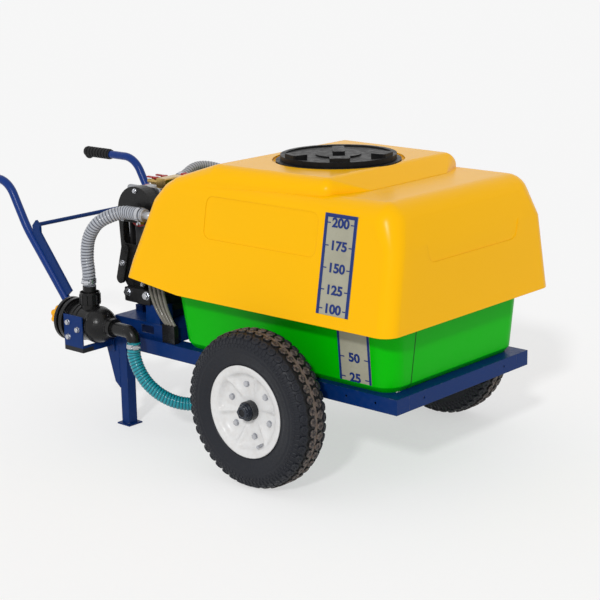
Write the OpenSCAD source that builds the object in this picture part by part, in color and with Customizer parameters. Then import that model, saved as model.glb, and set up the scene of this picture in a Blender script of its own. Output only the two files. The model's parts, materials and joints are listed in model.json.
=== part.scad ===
// Wheeled sprayer cart: a two-wheeled barrow that carries a 200 litre tank under a hood,
// a petrol engine with a diaphragm pump, and the pump's suction line with its filter.
// +X points forward, away from the handles, and +Z points up. The origin lies on the ground,
// under the middle of the whole cart. Lengths below are measured from the axle.

/* [Wheels] */
// Radius of the tyre
tyre_r = 205; // [195:1:212]
// Width of the tyre
tyre_w = 102; // [96:1:108]
// Distance between the middle planes of the two wheels
track = 777; // [770:1:800]
// Radius of the rim's lip
rim_lip_r = 120; // [116:1:124]
// Radius of the seat that the tyre's bead sits on
bead_r = 101.5; // [98:0.5:104]
// Thickness of the rim's pressed sheet
rim_sheet = 2.5; // [2:0.1:3]
// Radius of the circle of the rim's bolts
rim_bolt_pcr = 68; // [60:1:69]
// Angle by which the wheels stand turned at rest
wheel_turn = 10; // [0:1:30]
// Number of rim bolts and of pressed ridges between them
rim_bolts = 6; // [4:1:8]
// Radius of the wheel hub
hub_r = 25; // [23:0.5:28]
// Radius of the axle's spindle
spindle_r = 10; // [8:0.5:12]
// Radial clearance of the hub on its spindle
spindle_fit = 0.05; // [0.03:0.01:0.1]

/* [Frame] */
// Outer width of the frame
frame_w = 556; // [540:1:566]
// Front face of the frame, ahead of the axle
frame_front = 362; // [350:1:375]
// Rear end of the side rails, behind the axle
rail_rear = 690; // [684:1:700]
// Width of a rail's section
rail_w = 50; // [40:1:55]
// Height of a rail's section
rail_h = 40; // [38:1:44]
// Wall of the rails
rail_t = 2.5; // [2:0.1:3]
// Side of the square axle beam
beam_s = 50; // [44:1:56]
// Side of a stand leg's square tube
leg_s = 30; // [26:1:32]
// Distance of the stand legs behind the axle
leg_x = 624; // [616:1:632]
// Side of a leg's foot plate
foot_s = 50; // [44:1:60]
// Thickness of the plates welded to the frame
plate_t = 4; // [3:0.5:5]

/* [Platform] */
// Height of the platform's folded sides
platform_h = 40; // [36:1:44]
// How far the platform's sides stand inside the frame's sides
platform_in = 23; // [20:1:28]
// Rear edge of the platform, behind the axle
platform_rear = 674; // [668:1:680]
// Front edge of the platform, behind the axle
platform_front = 426; // [420:1:432]
// Thickness of the platform's sheet
sheet_t = 3; // [2:0.5:4]
// Height of the engine stand above the platform
stand_h = 20; // [16:1:24]

/* [Handles] */
// Radius of the handle tubes
handle_r = 12.5; // [11:0.5:14]
// Wall of the handle tubes
handle_t = 2; // [1.5:0.1:2.5]
// Height of the handgrips above the deck
grip_h = 378; // [360:1:400]
// Rear tip of the handgrips, behind the axle
grip_tip = 1361; // [1330:1:1390]
// Length of a rubber grip
grip_len = 122; // [110:1:135]
// Radius of a rubber grip
grip_r = 17; // [15.5:0.5:19]

/* [Tank] */
// Height of the tank's side below the hood
tank_h = 168; // [160:1:176]
// Width of the tank at its foot
tank_w = 536; // [520:1:544]
// Gap between the frame's front face and the tank's front
tank_back = 26; // [20:1:32]
// Rear wall of the tank at its foot, behind the axle
tank_rear = 395; // [388:1:402]
// Wall of the tank
tank_t = 5; // [4:0.5:6]
// Radius of the tank's upright corners
tank_corner = 55; // [45:1:60]

/* [Hood] */
// Width of the hood at its lower edge
hood_w = 690; // [684:1:696]
// Front of the hood at its lower edge, ahead of the axle
hood_front = 391; // [387:1:394]
// Rear of the hood at its lower edge, behind the axle
hood_rear = 528; // [522:1:534]
// Height of the hood's main roof above its lower edge
roof_h = 307; // [300:1:312]
// Height of the raised middle above the main roof
plateau_h = 37; // [32:1:42]
// Lean of the hood's walls, in degrees
hood_draft = 10; // [9:0.5:11]
// Wall of the hood
hood_t = 4; // [3:0.5:5]
// Middle of the filling hole, behind the axle
manway_x = 52; // [46:1:58]
// Radius of the round recess about the lid
recess_r = 174; // [170:1:178]
// Radius of the lid
lid_r = 153; // [150:1:156]

/* [Level gauge] */
// Width of the clear gauge strips
gauge_w = 102; // [90:1:106]
// Middle of the gauge strips, ahead of the axle
gauge_x = 212; // [206:1:216]
// Thickness of the gauge strips
gauge_t = 3; // [2:0.5:3.5]

/* [Suction line] */
// Outer radius of the suction hoses over their ribs
hose_r = 19; // [18:0.25:20]
// Radius of the suction hoses' bore
hose_bore = 15.5; // [14.5:0.25:16]
// Outer radius of the return hose over its ribs
return_r = 13; // [12:0.25:14]
// Radius of the return hose's bore
return_bore = 9.5; // [8.5:0.25:10]
// Radial gap between a hose's bore and its spigot
hose_fit = 0.3; // [0.2:0.05:0.5]
// Spacing of the ribs of the suction hoses
rib_pitch = 6; // [5.5:0.1:8]
// Radius of the filter's body
filter_r = 50; // [46:1:52]
// Distance of the filter's axis from the cart's middle
filter_y = 330; // [328:1:334]

/* [Engine and pump] */
// Height of the crankshaft above the engine's feet
shaft_h = 106; // [102:1:110]
// Distance of the crankshaft behind the axle
crank_x = 592; // [588:1:596]
// Radius of the crankshaft and of the pump's shaft
crank_r = 10; // [9:0.5:11]
// Radial clearance of both shafts in their bearings
crank_fit = 0.05; // [0.03:0.01:0.1]
// Distance of the pump's shaft behind the axle
pump_x = 578; // [575:1:581]
// Height of the pump's shaft above the crankshaft
pump_rise = 177; // [174:1:180]
// Radius of the pump's pulley
pump_pulley_r = 40; // [38:1:42]
// Radius of the engine's pulley
engine_pulley_r = 28; // [26:1:30]
// Radius of the pump's body
pump_r = 58; // [54:1:59]
// Radius of the pump's two heads
head_r = 52; // [48:1:54]
// Radius of the belt guard's round top
guard_r = 73; // [71:1:75]
// Depth of the belt guard
guard_d = 34; // [32:1:36]

/* [Hidden] */

$fn = 48;
gap = 0.3;             // clearance between pieces that move past each other

// Levels, from the ground up
axle_z = tyre_r;
rail_z = axle_z + beam_s / 2;
deck_z = rail_z + rail_h;
platform_z = deck_z + platform_h;
stand_z = platform_z + stand_h;
shaft_z = stand_z + shaft_h;
pump_z = shaft_z + pump_rise;
hood_z = deck_z + tank_h;
roof_z = hood_z + roof_h;
plateau_z = roof_z + plateau_h;
grip_z = deck_z + grip_h;

// Middle of the whole cart along X, which becomes the origin
shift_x = (grip_tip - hood_front) / 2;

// Sides of the frame
rail_y = (frame_w - rail_w) / 2;
inner_w = frame_w - 2 * rail_w;
platform_w = frame_w - 2 * platform_in;

// ---------------------------------------------------------------- helpers
module place() { translate([shift_x, 0, 0]) children(); }

module block(x0, x1, y0, y1, z0, z1) {
    translate([x0, y0, z0]) cube([x1 - x0, y1 - y0, z1 - z0]);
}

module rod_x(x0, x1, y, z, r) {
    translate([x0, y, z]) rotate([0, 90, 0]) cylinder(h = x1 - x0, r = r);
}

module rod_y(y0, y1, x, z, r) {
    translate([x, y0, z]) rotate([-90, 0, 0]) cylinder(h = y1 - y0, r = r);
}

module rod_z(z0, z1, x, y, r) {
    translate([x, y, z0]) cylinder(h = z1 - z0, r = r);
}

// Block with rounded upright edges
module post_block(x0, x1, y0, y1, z0, z1, r) {
    translate([0, 0, z0]) linear_extrude(z1 - z0) round_rect(x0, x1, y0, y1, r);
}

module round_rect(x0, x1, y0, y1, r) {
    union() {
        translate([x0 + r, y0]) square([x1 - x0 - 2 * r, y1 - y0]);
        translate([x0, y0 + r]) square([x1 - x0, y1 - y0 - 2 * r]);
        for (x = [x0 + r, x1 - r], y = [y0 + r, y1 - r]) translate([x, y]) circle(r);
    }
}

// Block whose edges along Y are rounded
module roll_block(x0, x1, y0, y1, z0, z1, r) {
    translate([0, y1, 0]) rotate([90, 0, 0]) linear_extrude(y1 - y0) round_rect(x0, x1, z0, z1, r);
}

// Thin level slab with rounded corners, one layer of a moulded shell
module layer(x0, x1, half_w, z, r, h = 1) {
    for (x = [x0 + r, x1 - r], y = [r - half_w, half_w - r])
        translate([x, y, z]) cylinder(h = h, r = r, $fn = 32);
}

// Hexagon bolt head with its washer, standing along +Z
module bolt_head(across, h, washer_r) {
    cylinder(h = 1.5, r = washer_r, $fn = 24);
    translate([0, 0, 1.5]) cylinder(h = h, d = across / cos(30), $fn = 6);
}

// Tube bent in a plane: corner points and the radius of the bend at each corner
function unit(v) = v / norm(v);
function turn_of(a, b, c) = let(u = unit(b - a), w = unit(c - b)) atan2(u[0] * w[1] - u[1] * w[0], u * w);
function setback(a, b, c, r) = r * tan(abs(turn_of(a, b, c)) / 2);

// Each bend meets the straight tube in a thin seam ring.
seam = 0.12;

module tube_end(at, angle, r, wall) {
    translate(at) rotate([0, 0, angle]) rotate([0, 90, 0]) difference() {
        translate([0, 0, -1]) cylinder(h = 1.5, r = r + seam);
        translate([0, 0, -2]) cylinder(h = 3.5, r = r - wall - seam);
    }
}

module bent_tube(pts, bends, r, wall) {
    n = len(pts);
    for (i = [0 : n - 2]) {
        d = unit(pts[i + 1] - pts[i]);
        angle = atan2(d[1], d[0]);
        s0 = i == 0 ? 0 : setback(pts[i - 1], pts[i], pts[i + 1], bends[i]);
        s1 = i == n - 2 ? 0 : setback(pts[i], pts[i + 1], pts[i + 2], bends[i + 1]);
        e0 = i == 0 ? 0 : gap;
        e1 = i == n - 2 ? 0 : gap;
        length = norm(pts[i + 1] - pts[i]) - s0 - s1 - e0 - e1;
        translate(pts[i] + (s0 + e0) * d) rotate([0, 0, angle]) rotate([0, 90, 0]) difference() {
            cylinder(h = length, r = r);
            translate([0, 0, -1]) cylinder(h = length + 2, r = r - wall);
        }
        if (i > 0) tube_end(pts[i] + s0 * d, angle + 180, r, wall);
        if (i < n - 2) tube_end(pts[i + 1] - s1 * d, angle, r, wall);
    }
    for (i = [1 : n - 2]) {
        d = unit(pts[i] - pts[i - 1]);
        turn = turn_of(pts[i - 1], pts[i], pts[i + 1]);
        side = turn > 0 ? 1 : -1;
        start = pts[i] - setback(pts[i - 1], pts[i], pts[i + 1], bends[i]) * d;
        centre = start + side * bends[i] * [-d[1], d[0]];
        from = atan2(start[1] - centre[1], start[0] - centre[0]);
        translate(centre) rotate([0, 0, side > 0 ? from : from + turn])
            rotate_extrude(angle = abs(turn)) translate([bends[i], 0]) difference() {
                circle(r);
                circle(r - wall);
            }
    }
}

// Smooth route through chosen points, and a table of its length for even steps
function spline(a, b, c, d, t) =
    0.5 * (2 * b + (c - a) * t + (2 * a - 5 * b + 4 * c - d) * t * t + (3 * b - a - 3 * c + d) * t * t * t);
function route(p, fine = 12) = let(n = len(p)) [
    for (i = [0 : n - 2], k = [0 : fine - 1])
        spline(p[max(i - 1, 0)], p[i], p[i + 1], p[min(i + 2, n - 1)], k / fine),
    p[n - 1]];
function reach(q) = [for (i = 0,
    s = 0; i < len(q); s = s + (i + 1 < len(q) ? norm(q[i + 1] - q[i]) : 0), i = i + 1) s];
function table(q, s, axis) = [for (i = [0 : len(q) - 1]) [s[i], q[i][axis]]];
function walk(q, n) = let(s = reach(q), all = s[len(q) - 1],
    tx = table(q, s, 0), ty = table(q, s, 1), tz = table(q, s, 2))
    [for (i = [0 : n]) let(d = all * i / n) [lookup(d, tx), lookup(d, ty), lookup(d, tz)]];
function route_length(p) = let(s = reach(route(p))) s[len(s) - 1];
function ring(c, dir, r, sides) = let(a = unit(cross(dir, [0, 1, 0])), b = cross(unit(dir), a))
    [for (k = [0 : sides - 1]) c + r * (cos(360 * k / sides) * a + sin(360 * k / sides) * b)];
function heading(w, i) = w[min(i + 1, len(w) - 1)] - w[max(i - 1, 0)];

// Ribbed hose with its bore: two rings for each rib, and a smooth bore with wider steps
module ribbed_hose(pts, r_out, r_root, r_in, pitch, sides = 8) {
    fine = route(pts);
    ribs = round(route_length(pts) / pitch);
    w = walk(fine, 2 * ribs);
    skip = 8;
    inner_n = floor(2 * ribs / skip);
    outer = [for (i = [0 : 2 * ribs]) ring(w[i], heading(w, i), i % 2 == 0 ? r_out : r_root, sides)];
    r_corner = r_in / cos(180 / sides);
    inner = [for (i = [0 : inner_n]) let(j = i == inner_n ? 2 * ribs : i * skip)
        ring(w[j], heading(w, j), r_corner, sides)];
    rings = concat(outer, inner);
    base = len(outer);
    last = len(rings) - 1;
    function q(i, j, k) = let(k2 = (k + 1) % sides)
        [[i * sides + k, j * sides + k2, i * sides + k2], [i * sides + k, j * sides + k, j * sides + k2]];
    faces = concat(
        [for (i = [0 : base - 2], k = [0 : sides - 1]) each q(i, i + 1, k)],
        [for (i = [base : last - 1], k = [0 : sides - 1]) each q(i + 1, i, k)],
        [for (k = [0 : sides - 1]) each q(base, 0, k)],
        [for (k = [0 : sides - 1]) each q(base - 1, last, k)]);
    polyhedron(points = [for (g = rings) each g], faces = faces, convexity = 10);
}

// ---------------------------------------------------------------- frame
cross_rear = tank_rear - 5;      // middle cross rails, behind and ahead of the axle
cross_front = 150;

module side_rails() {
    color("#123a7c") for (s = [-1, 1]) difference() {
        block(-rail_rear, frame_front, s * rail_y - rail_w / 2, s * rail_y + rail_w / 2, rail_z, deck_z);
        block(-rail_rear + rail_t, frame_front - rail_t, s * rail_y - rail_w / 2 + rail_t,
              s * rail_y + rail_w / 2 - rail_t, rail_z + rail_t, deck_z - rail_t);
        rod_x(-rail_rear - 1, -rail_rear + rail_t + 1, s * rail_y, rail_z + rail_h / 2, handle_r + tube_fit);
        for (b = rail_bolt_places) if (b[2] == -s) rail_hole(b);
    }
}

module cross_rails() {
    w = inner_w / 2;
    color("#123a7c") for (x = [frame_front - rail_h, cross_front, -cross_rear,
        -rail_rear + 10]) difference() {
        block(x, x + rail_h, -w, w, rail_z, deck_z);
        block(x + rail_t, x + rail_h - rail_t, -w - 1, w + 1, rail_z + rail_t, deck_z - rail_t);
        if (x > cross_front) for (y = [-front_bolt_y, front_bolt_y])
            rod_x(x + rail_h - rail_t - 1, x + rail_h + 1, y, rail_z + rail_h / 2, rail_bolt_r);
    }
}

tube_fit = 0.1;          // gap of a handle tube in the rail's end wall
rail_bolt_r = 3;
rail_bolt_places = [for (s = [-1, 1]) each [[202, s * frame_w / 2, -s], [295, s * frame_w / 2, -s]]];
front_bolt_y = 170;

module rail_hole(b) {
    rod_y(min(b[1], b[1] + b[2] * rail_t) - 0.5, max(b[1], b[1] + b[2] * rail_t) + 0.5, b[0],
          rail_z + rail_h / 2, rail_bolt_r);
}

module axle_beam() {
    half = track / 2 - tyre_w / 2 - 12;
    tip = track / 2 + 52;
    color("#10306a") {
        block(-beam_s / 2, beam_s / 2, -half, half, axle_z - beam_s / 2, rail_z);
        rod_y(-tip, tip, 0, axle_z, spindle_r);
        for (s = [-1, 1]) translate([0, s * half, axle_z]) rotate([-s * 90, 0, 0])
            cylinder(h = 12, r1 = 20, r2 = 14);
    }
}

module stand_legs() {
    color("#123a7c") for (s = [-1, 1]) {
        difference() {
            block(-leg_x - leg_s / 2, -leg_x + leg_s / 2, s * (frame_w / 2 - 1 - leg_s / 2) - leg_s / 2,
                  s * (frame_w / 2 - 1 - leg_s / 2) + leg_s / 2, plate_t, rail_z);
            block(-leg_x - leg_s / 2 + 2, -leg_x + leg_s / 2 - 2,
                s * (frame_w / 2 - 1 - leg_s / 2) - leg_s / 2 + 2,
                  s * (frame_w / 2 - 1 - leg_s / 2) + leg_s / 2 - 2, plate_t + 3, rail_z + 1);
        }
        block(-leg_x - foot_s / 2, -leg_x + foot_s / 2, s * (frame_w / 2 - 1 - leg_s / 2) - foot_s / 2,
              s * (frame_w / 2 - 1 - leg_s / 2) + foot_s / 2, 0, plate_t);
        y0 = s > 0 ? frame_w / 2 - plate_t : -frame_w / 2;
        translate([0, y0 + plate_t, 0]) rotate([90, 0, 0]) linear_extrude(plate_t)
            polygon([[-rail_rear, rail_z], [-rail_rear, rail_z - 8], [-leg_x - leg_s / 2 - 20, rail_z - 108],
                     [-leg_x - leg_s / 2, rail_z - 124], [-leg_x - leg_s / 2, rail_z]]);
    }
}

module engine_platform() {
    hw = platform_w / 2;
    color("#123a7c") difference() {
        block(-platform_rear, -platform_front, -hw, hw, deck_z, platform_z);
        block(-platform_rear + sheet_t, -platform_front - sheet_t, -hw + sheet_t, hw - sheet_t,
              deck_z - 1, platform_z - sheet_t);
        for (s = [-1, 1]) translate([-540, s * hw, deck_z + 20]) cube([50, 3 * sheet_t, 22], center = true);
        for (y = [-150, 0, 150]) translate([-platform_rear, y, deck_z + 20])
            cube([3 * sheet_t, 80, 16], center = true);
    }
}

// ---------------------------------------------------------------- handles
bend_low = [-826, deck_z - rail_h / 2];
bend_mid = [-1050, deck_z + 243.5];
bend_top = [-1127, grip_z];
handle_end = 8;          // the grip's closed end covers this much past the tube
grip_hook = 8;           // the grip's rounded end hangs this much lower
grip_ribs = 8;
handle_pts = [[-rail_rear + 40, deck_z - rail_h / 2], bend_low, bend_mid, bend_top,
              [-grip_tip + handle_end, grip_z]];
handle_bends = [0, 60, 300, 80, 0];

module handle_tubes() {
    color("#16499a") for (s = [-1, 1]) translate([0, s * rail_y, 0]) rotate([90, 0, 0])
        bent_tube(handle_pts, handle_bends, handle_r, handle_t);
}

module handle_grips() {
    color("#18181a") for (s = [-1, 1]) difference() {
        union() {
            rod_x(-grip_tip + 2, -grip_tip + grip_len, s * rail_y, grip_z, grip_r - 2);
            for (i = [0 : grip_ribs - 1]) let(x = -grip_tip + 8 + i * (grip_len - 24) / (grip_ribs - 1))
                rod_x(x, x + 8, s * rail_y, grip_z, grip_r);
            translate([-grip_tip + grip_r - 2, s * rail_y, grip_z - grip_hook]) sphere(r = grip_r - 2);
        }
        rod_x(-grip_tip + handle_end, -grip_tip + grip_len + 1, s * rail_y, grip_z, handle_r + 0.1);
    }
}

// Flat bars along the front of both handles, joined by a cross rod
stay_dir = unit(bend_mid - bend_low);
stay_n = [stay_dir[1], -stay_dir[0]];
stay_t = 8;              // thickness of a stay
stay_shape = [[99, 12.7], [99, 39], [300, 43], [316, 56], [338, 54], [336, 30], [311, 13.2]];
rod_on_stay = [327, 45];

function on_stay(q) = bend_low + q[0] * stay_dir + q[1] * stay_n;

module handle_brace() {
    rod = on_stay(rod_on_stay);
    color("#0d2a5e") {
        for (s = [-1, 1]) translate([0, s * rail_y + stay_t / 2, 0]) rotate([90, 0, 0]) linear_extrude(stay_t)
            polygon([for (q = stay_shape) on_stay(q)]);
        rod_y(-rail_y, rail_y, rod[0], rod[1], 6);
    }
}

// ---------------------------------------------------------------- tank
tank_front = frame_front - tank_back;
sump_h = 38;             // depth of the trough between the rails
neck_r = 160;

module tank_form(t) {
    w = tank_w / 2 - t;
    hull() {
        layer(-tank_rear + 14 + t, tank_front - 14 - t, w - 14, deck_z + t, tank_corner - 14);
        layer(-tank_rear + t, tank_front - t, w, deck_z + 16, tank_corner);
        layer(-tank_rear - 20 + t, tank_front + 10 - t, w + 15, hood_z + 26, tank_corner);
    }
    hull() {
        layer(-tank_rear - 14 + t, tank_front + 36 - t, w + 48, hood_z + 26, tank_corner);
        layer(-tank_rear + 50 + t, tank_front + 4 - t, w + 16, roof_z - 50, tank_corner);
        layer(-tank_rear + 80 + t, tank_front - 20 - t, w - 14, roof_z - 28 - t, tank_corner - 10);
    }
    hull() {
        layer(-cross_rear + rail_h + 8 + t, cross_front - 8 - t, inner_w / 2 - 8 - t, rail_z + 2 + t, 20);
        layer(-cross_rear + rail_h + 8 + t, cross_front - 8 - t, inner_w / 2 - 8 - t, deck_z + 4 + t, 30);
    }
}

module tank() {
    color("#00b400") difference() {
        union() {
            tank_form(0);
            rod_z(roof_z - 30, plateau_z - 16, -manway_x, 0, neck_r);
            rod_x(return_end, return_end + 80, return_y, return_z, return_r + 2);
            rod_x(return_end - 24, return_end, return_y, return_z, return_bore - hose_fit);
        }
        rod_x(return_end - 25, return_end + 90, return_y, return_z, 6);
        tank_form(tank_t);
        rod_z(roof_z - 60, plateau_z, -manway_x, 0, neck_r - tank_t);
        lower_strip(gap);
        rod_z(rail_z - 1, rail_z + 20, outlet_at[0], outlet_at[1], 17);
    }
}

// ---------------------------------------------------------------- hood
plateau_r = 45;          // roundings of the raised middle, its ramp, the front edge and the rear
ramp_r = 35;
brow_r = 60;
tail_r = 35;
lip_r = 42;              // upright corners of the front wall
front_lean = 1.5;        // the front wall stands nearly upright
tail_rise = 20;          // the lower edge climbs towards the rear corner

function wall_y(z) = hood_w / 2 - (z - hood_z) * tan(hood_draft);
function wall_x(z) = hood_front - (z - hood_z) * tan(front_lean);
function in_y(z, r) = wall_y(z) - r / cos(hood_draft);

// Middles of the rear rounding's balls, from the lower corner to the roof
tail_path = [[40 - hood_rear, 55], [63 - hood_rear, 110], [86 - hood_rear, 176], [101 - hood_rear, 217],
             [132 - hood_rear, 251], [162 - hood_rear, roof_h - tail_r - 4]];

module ball(x, y, z, r) {
    for (s = [-1, 1]) translate([x, s * y, z]) sphere(r = r, $fn = 28);
}

module post(x, y, z, r) {
    for (s = [-1, 1]) translate([x, s * y, z]) cylinder(h = 0.5, r = r, $fn = 32);
}

module hood_form(t) {
    low = hood_z - (t > 0 ? 2 : 0);
    q = tail_path[len(tail_path) - 1];
    hull() {
        post(hood_front - lip_r, hood_w / 2 - lip_r, low, lip_r - t);
        post(-320, hood_w / 2 - 25, low, 25 - t);
        post(25 - hood_rear, wall_y(hood_z + tail_rise) - 25, low + tail_rise, 25 - t);
        post(wall_x(roof_z - 108) - lip_r, in_y(roof_z - 108, lip_r), roof_z - 108, lip_r - t);
        ball(wall_x(roof_z) - brow_r - 14, in_y(roof_z - brow_r, brow_r), roof_z - brow_r, brow_r - t);
        for (a = tail_path) ball(a[0], in_y(hood_z + a[1], tail_r), hood_z + a[1], tail_r - t);
    }
    hull() {
        ball(q[0], in_y(hood_z + q[1], tail_r), hood_z + q[1], tail_r - t);
        ball(-240, in_y(plateau_z - plateau_r, plateau_r), plateau_z - plateau_r, plateau_r - t);
        ball(112, in_y(plateau_z - ramp_r, ramp_r) - 20, plateau_z - ramp_r, ramp_r - t);
        for (s = [-1, 1]) translate([160, s * 150, roof_z - 12]) cylinder(h = 12 - t, r = 25 - t, $fn = 32);
    }
}

// Shallow field in each side wall
module side_field() {
    for (s = [-1, 1]) translate([0, s * wall_y(hood_z), hood_z]) rotate([s * hood_draft, 0, 0])
        rotate([90, 0, 0])
        translate([0, 0, -1.4]) linear_extrude(2.8) round_rect(-245, 140, 162, 272, 22);
}

bay_w = 430;             // opening in the hood's rear wall
bay_h = 252;

module hood() {
    color("#ffc000") difference() {
        union() {
            difference() {
                hood_form(0);
                hood_form(hood_t);
                rod_z(ring_z, plateau_z + 20, -manway_x, 0, recess_r);
            }
            intersection() {
                hood_form(0);
                difference() {
                    rod_z(ring_z - hood_t, plateau_z + 1, -manway_x, 0, recess_r + hood_t);
                    rod_z(ring_z, plateau_z + 2, -manway_x, 0, recess_r);
                }
            }
        }
        rod_z(plateau_z - 40, plateau_z + 1, -manway_x, 0, neck_r + 2);
        upper_strip(gap);
        // opening for the pump and engine
        translate([-hood_rear - 10, 0, hood_z - 1]) rotate([90, 0, 90]) linear_extrude(180)
            round_rect(-bay_w / 2, bay_w / 2, -60, bay_h, 40);
        // shallow panel in the front wall
        translate([wall_x(hood_z + 160), 0, hood_z + 160]) rotate([0, -front_lean, 0]) rotate([90, 0, 90])
            translate([0, 0, -2]) linear_extrude(20) front_panel();
        side_field();
    }
}

module front_panel() {
    hull() {
        for (s = [-1, 1]) {
            translate([s * 160, 20]) circle(24, $fn = 24);
            translate([s * 180, 110]) circle(24, $fn = 24);
            translate([s * 176, 150]) circle(24, $fn = 24);
        }
    }
}

// Clear strips of the level gauge: the upper one leans with the hood, the lower with the tank
strip_top = 244;         // height of the upper strip along the wall
tank_lean = atan(15 / (hood_z + 26 - deck_z - 16));

module upper_strip(g) {
    out = g > 0 ? 10 : 0.3;
    translate([gauge_x, -wall_y(hood_z), hood_z]) rotate([-hood_draft, 0, 0])
        translate([-gauge_w / 2 - g, -out, 31 - g])
            cube([gauge_w + 2 * g, gauge_t + out + g, strip_top + 2 * g]);
}

module lower_strip(g) {
    out = g > 0 ? 10 : 0.5;
    translate([gauge_x + 14, -tank_w / 2, deck_z + 16]) rotate([tank_lean, 0, 0])
        translate([-gauge_w / 2 - g, -out, 2 - g])
            cube([gauge_w + 2 * g, gauge_t - 0.5 + out + g, hood_z - deck_z - 10 + 2 * g]);
}

module level_gauges() {
    color("#b9c2b8", 0.6) {
        upper_strip(0);
        lower_strip(0);
    }
}

// ---------------------------------------------------------------- filling hole
ring_z = plateau_z - 7;   // floor of the recess

module manway_ring() {
    color("#1b1b1d") difference() {
        union() {
            rod_z(ring_z, ring_z + 6, -manway_x, 0, lid_r + 12);
            rod_z(ring_z - 40, ring_z, -manway_x, 0, neck_r - tank_t - 0.5);
        }
        rod_z(ring_z - 41, ring_z + 7, -manway_x, 0, neck_r - tank_t - 6);
        rod_z(ring_z + 3, ring_z + 7, -manway_x, 0, neck_r - tank_t - 2);
    }
}

basket_r = neck_r - tank_t - 9;
basket_h = 110;

module strainer_basket() {
    color("#26292c") translate([-manway_x, 0, 0]) difference() {
        union() {
            rod_z(ring_z - basket_h, ring_z + 3, 0, 0, basket_r);
            rod_z(ring_z + 3, ring_z + 5.5, 0, 0, basket_r + 6);
        }
        rod_z(ring_z - basket_h + 1.5, ring_z + 6, 0, 0, basket_r - 3);
        rod_z(ring_z - basket_h - 1, ring_z - basket_h + 2, 0, 0, basket_r - 10);
        for (a = [0 : 15 : 345], z = [ring_z - 95, ring_z - 55]) rotate([0, 0, a])
            block(basket_r - 9, basket_r + 10, -9, 9, z, z + 32);
    }
    // sieve plate that lies on the basket's inner ledge
    color("#3a3d40") translate([-manway_x, 0, 0]) difference() {
        rod_z(ring_z - basket_h + 1.6, ring_z - basket_h + 3.6, 0, 0, basket_r - 3.1);
        for (a = [0 : 60 : 300], r = [45, 90]) rotate([0, 0, a + r])
            rod_z(ring_z - basket_h - 1, ring_z - basket_h + 5, r, 0, 14);
    }
}

lid_z = ring_z + 6 + gap;
lid_h = 14;

module lid() {
    color("#161618") translate([-manway_x, 0, lid_z]) {
        difference() {
            cylinder(h = lid_h, r = lid_r, $fn = 96);
            translate([0, 0, lid_h - 4]) difference() {
                cylinder(h = 5, r = lid_r - 12);
                translate([0, 0, -1]) cylinder(h = 7, r = 60);
            }
        }
        for (a = [-108, 42 - 90, 12]) rotate([0, 0, a])
            post_block(lid_r - 46, lid_r - 4, -26, 26, lid_h - 5, lid_h + 10, 6);
        rotate([0, 0, -48]) post_block(-48, 48, -16, 16, lid_h - 5, lid_h + 12, 6);
    }
}

// ---------------------------------------------------------------- wheels
module at_wheel(s) {
    translate([0, s * track / 2, axle_z]) rotate([-90, -wheel_turn, 0])
        mirror([0, 0, s < 0 ? 1 : 0]) children();
}

half_seat = 36;          // half width between the rim's two flanges
valve_at = 72;           // place of the tyre valve round the rim, from the first ridge

module tyre(s) {
    w = tyre_w / 2;
    color("#1d1f24") at_wheel(s) rotate_extrude($fn = 96) polygon([
        [bead_r + 0.2, -half_seat + 0.5], [bead_r + 14, -half_seat - 1], [bead_r + 28, -w + 5],
        [bead_r + 48, -w],
        [tyre_r - 28, -w + 0.5], [tyre_r - 13, -w + 3], [tyre_r - 5, -w + 9], [tyre_r - 1.5, -w + 26],
        [tyre_r - 8, -w + 27], [tyre_r - 8, -w + 30], [tyre_r - 1, -w + 31], [tyre_r, -8],
        [tyre_r - 8, -2], [tyre_r - 8, 2], [tyre_r, 8], [tyre_r - 1, w - 31], [tyre_r - 8, w - 30],
        [tyre_r - 8, w - 27], [tyre_r - 1.5, w - 26],
        [tyre_r - 5, w - 9], [tyre_r - 13, w - 3], [tyre_r - 28, w - 0.5],
        [bead_r + 48, w], [bead_r + 28, w - 5], [bead_r + 14, half_seat + 1], [bead_r + 0.2, half_seat - 0.5],
        [bead_r + 0.2, half_seat - 14], [bead_r + 10, half_seat - 12], [bead_r + 24, w - 14],
        [bead_r + 46, w - 10],
        [tyre_r - 22, w - 18], [tyre_r - 16, w - 36], [tyre_r - 16, 36 - w], [tyre_r - 22, 18 - w],
        [bead_r + 46, 10 - w], [bead_r + 24, 14 - w], [bead_r + 10, 12 - half_seat], [bead_r + 0.2,
        14 - half_seat]]);
}

web_out = 19;            // outer face of the rim's web, from the wheel's middle plane

module rim_front(s) {
    t = rim_sheet;
    color("#e9e9e6") at_wheel(s) difference() {
        union() {
            rotate_extrude($fn = 96) polygon([
                [hub_r + 0.1, web_out - t], [hub_r + 0.1, web_out], [84, web_out], [93, web_out - 3],
                [bead_r - t, web_out - 4],
                [bead_r - t, half_seat + 2], [bead_r + 4, half_seat + 6], [rim_lip_r - 4,
                half_seat + 8], [rim_lip_r, half_seat + 6],
                [rim_lip_r, half_seat + 4], [rim_lip_r - 4, half_seat + 5], [bead_r + 5, half_seat + 3],
                [bead_r, half_seat], [bead_r, web_out - 4 - t], [93, web_out - 3 - t], [84, web_out - t]]);
            for (k = [0 : rim_bolts - 1]) rotate([0, 0, 360 * k / rim_bolts])
                translate([0, 0, web_out - 0.5]) rotate([90, 0, 0]) linear_extrude(7, center = true)
                    polygon([[hub_r + 12, 0], [bead_r - t - 0.5, 0], [bead_r - t - 0.5, 12],
                        [bead_r - 14, 9], [hub_r + 24, 4]]);
        }
        for (k = [0 : rim_bolts - 1]) rotate([0, 0, 360 * (k + 0.5) / rim_bolts])
            translate([rim_bolt_pcr, 0, 0]) cylinder(h = 60, r = 4.3);
        rotate([0, 0, valve_at]) translate([93, 0, 0]) cylinder(h = 60, r = 5.5);
    }
}

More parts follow.
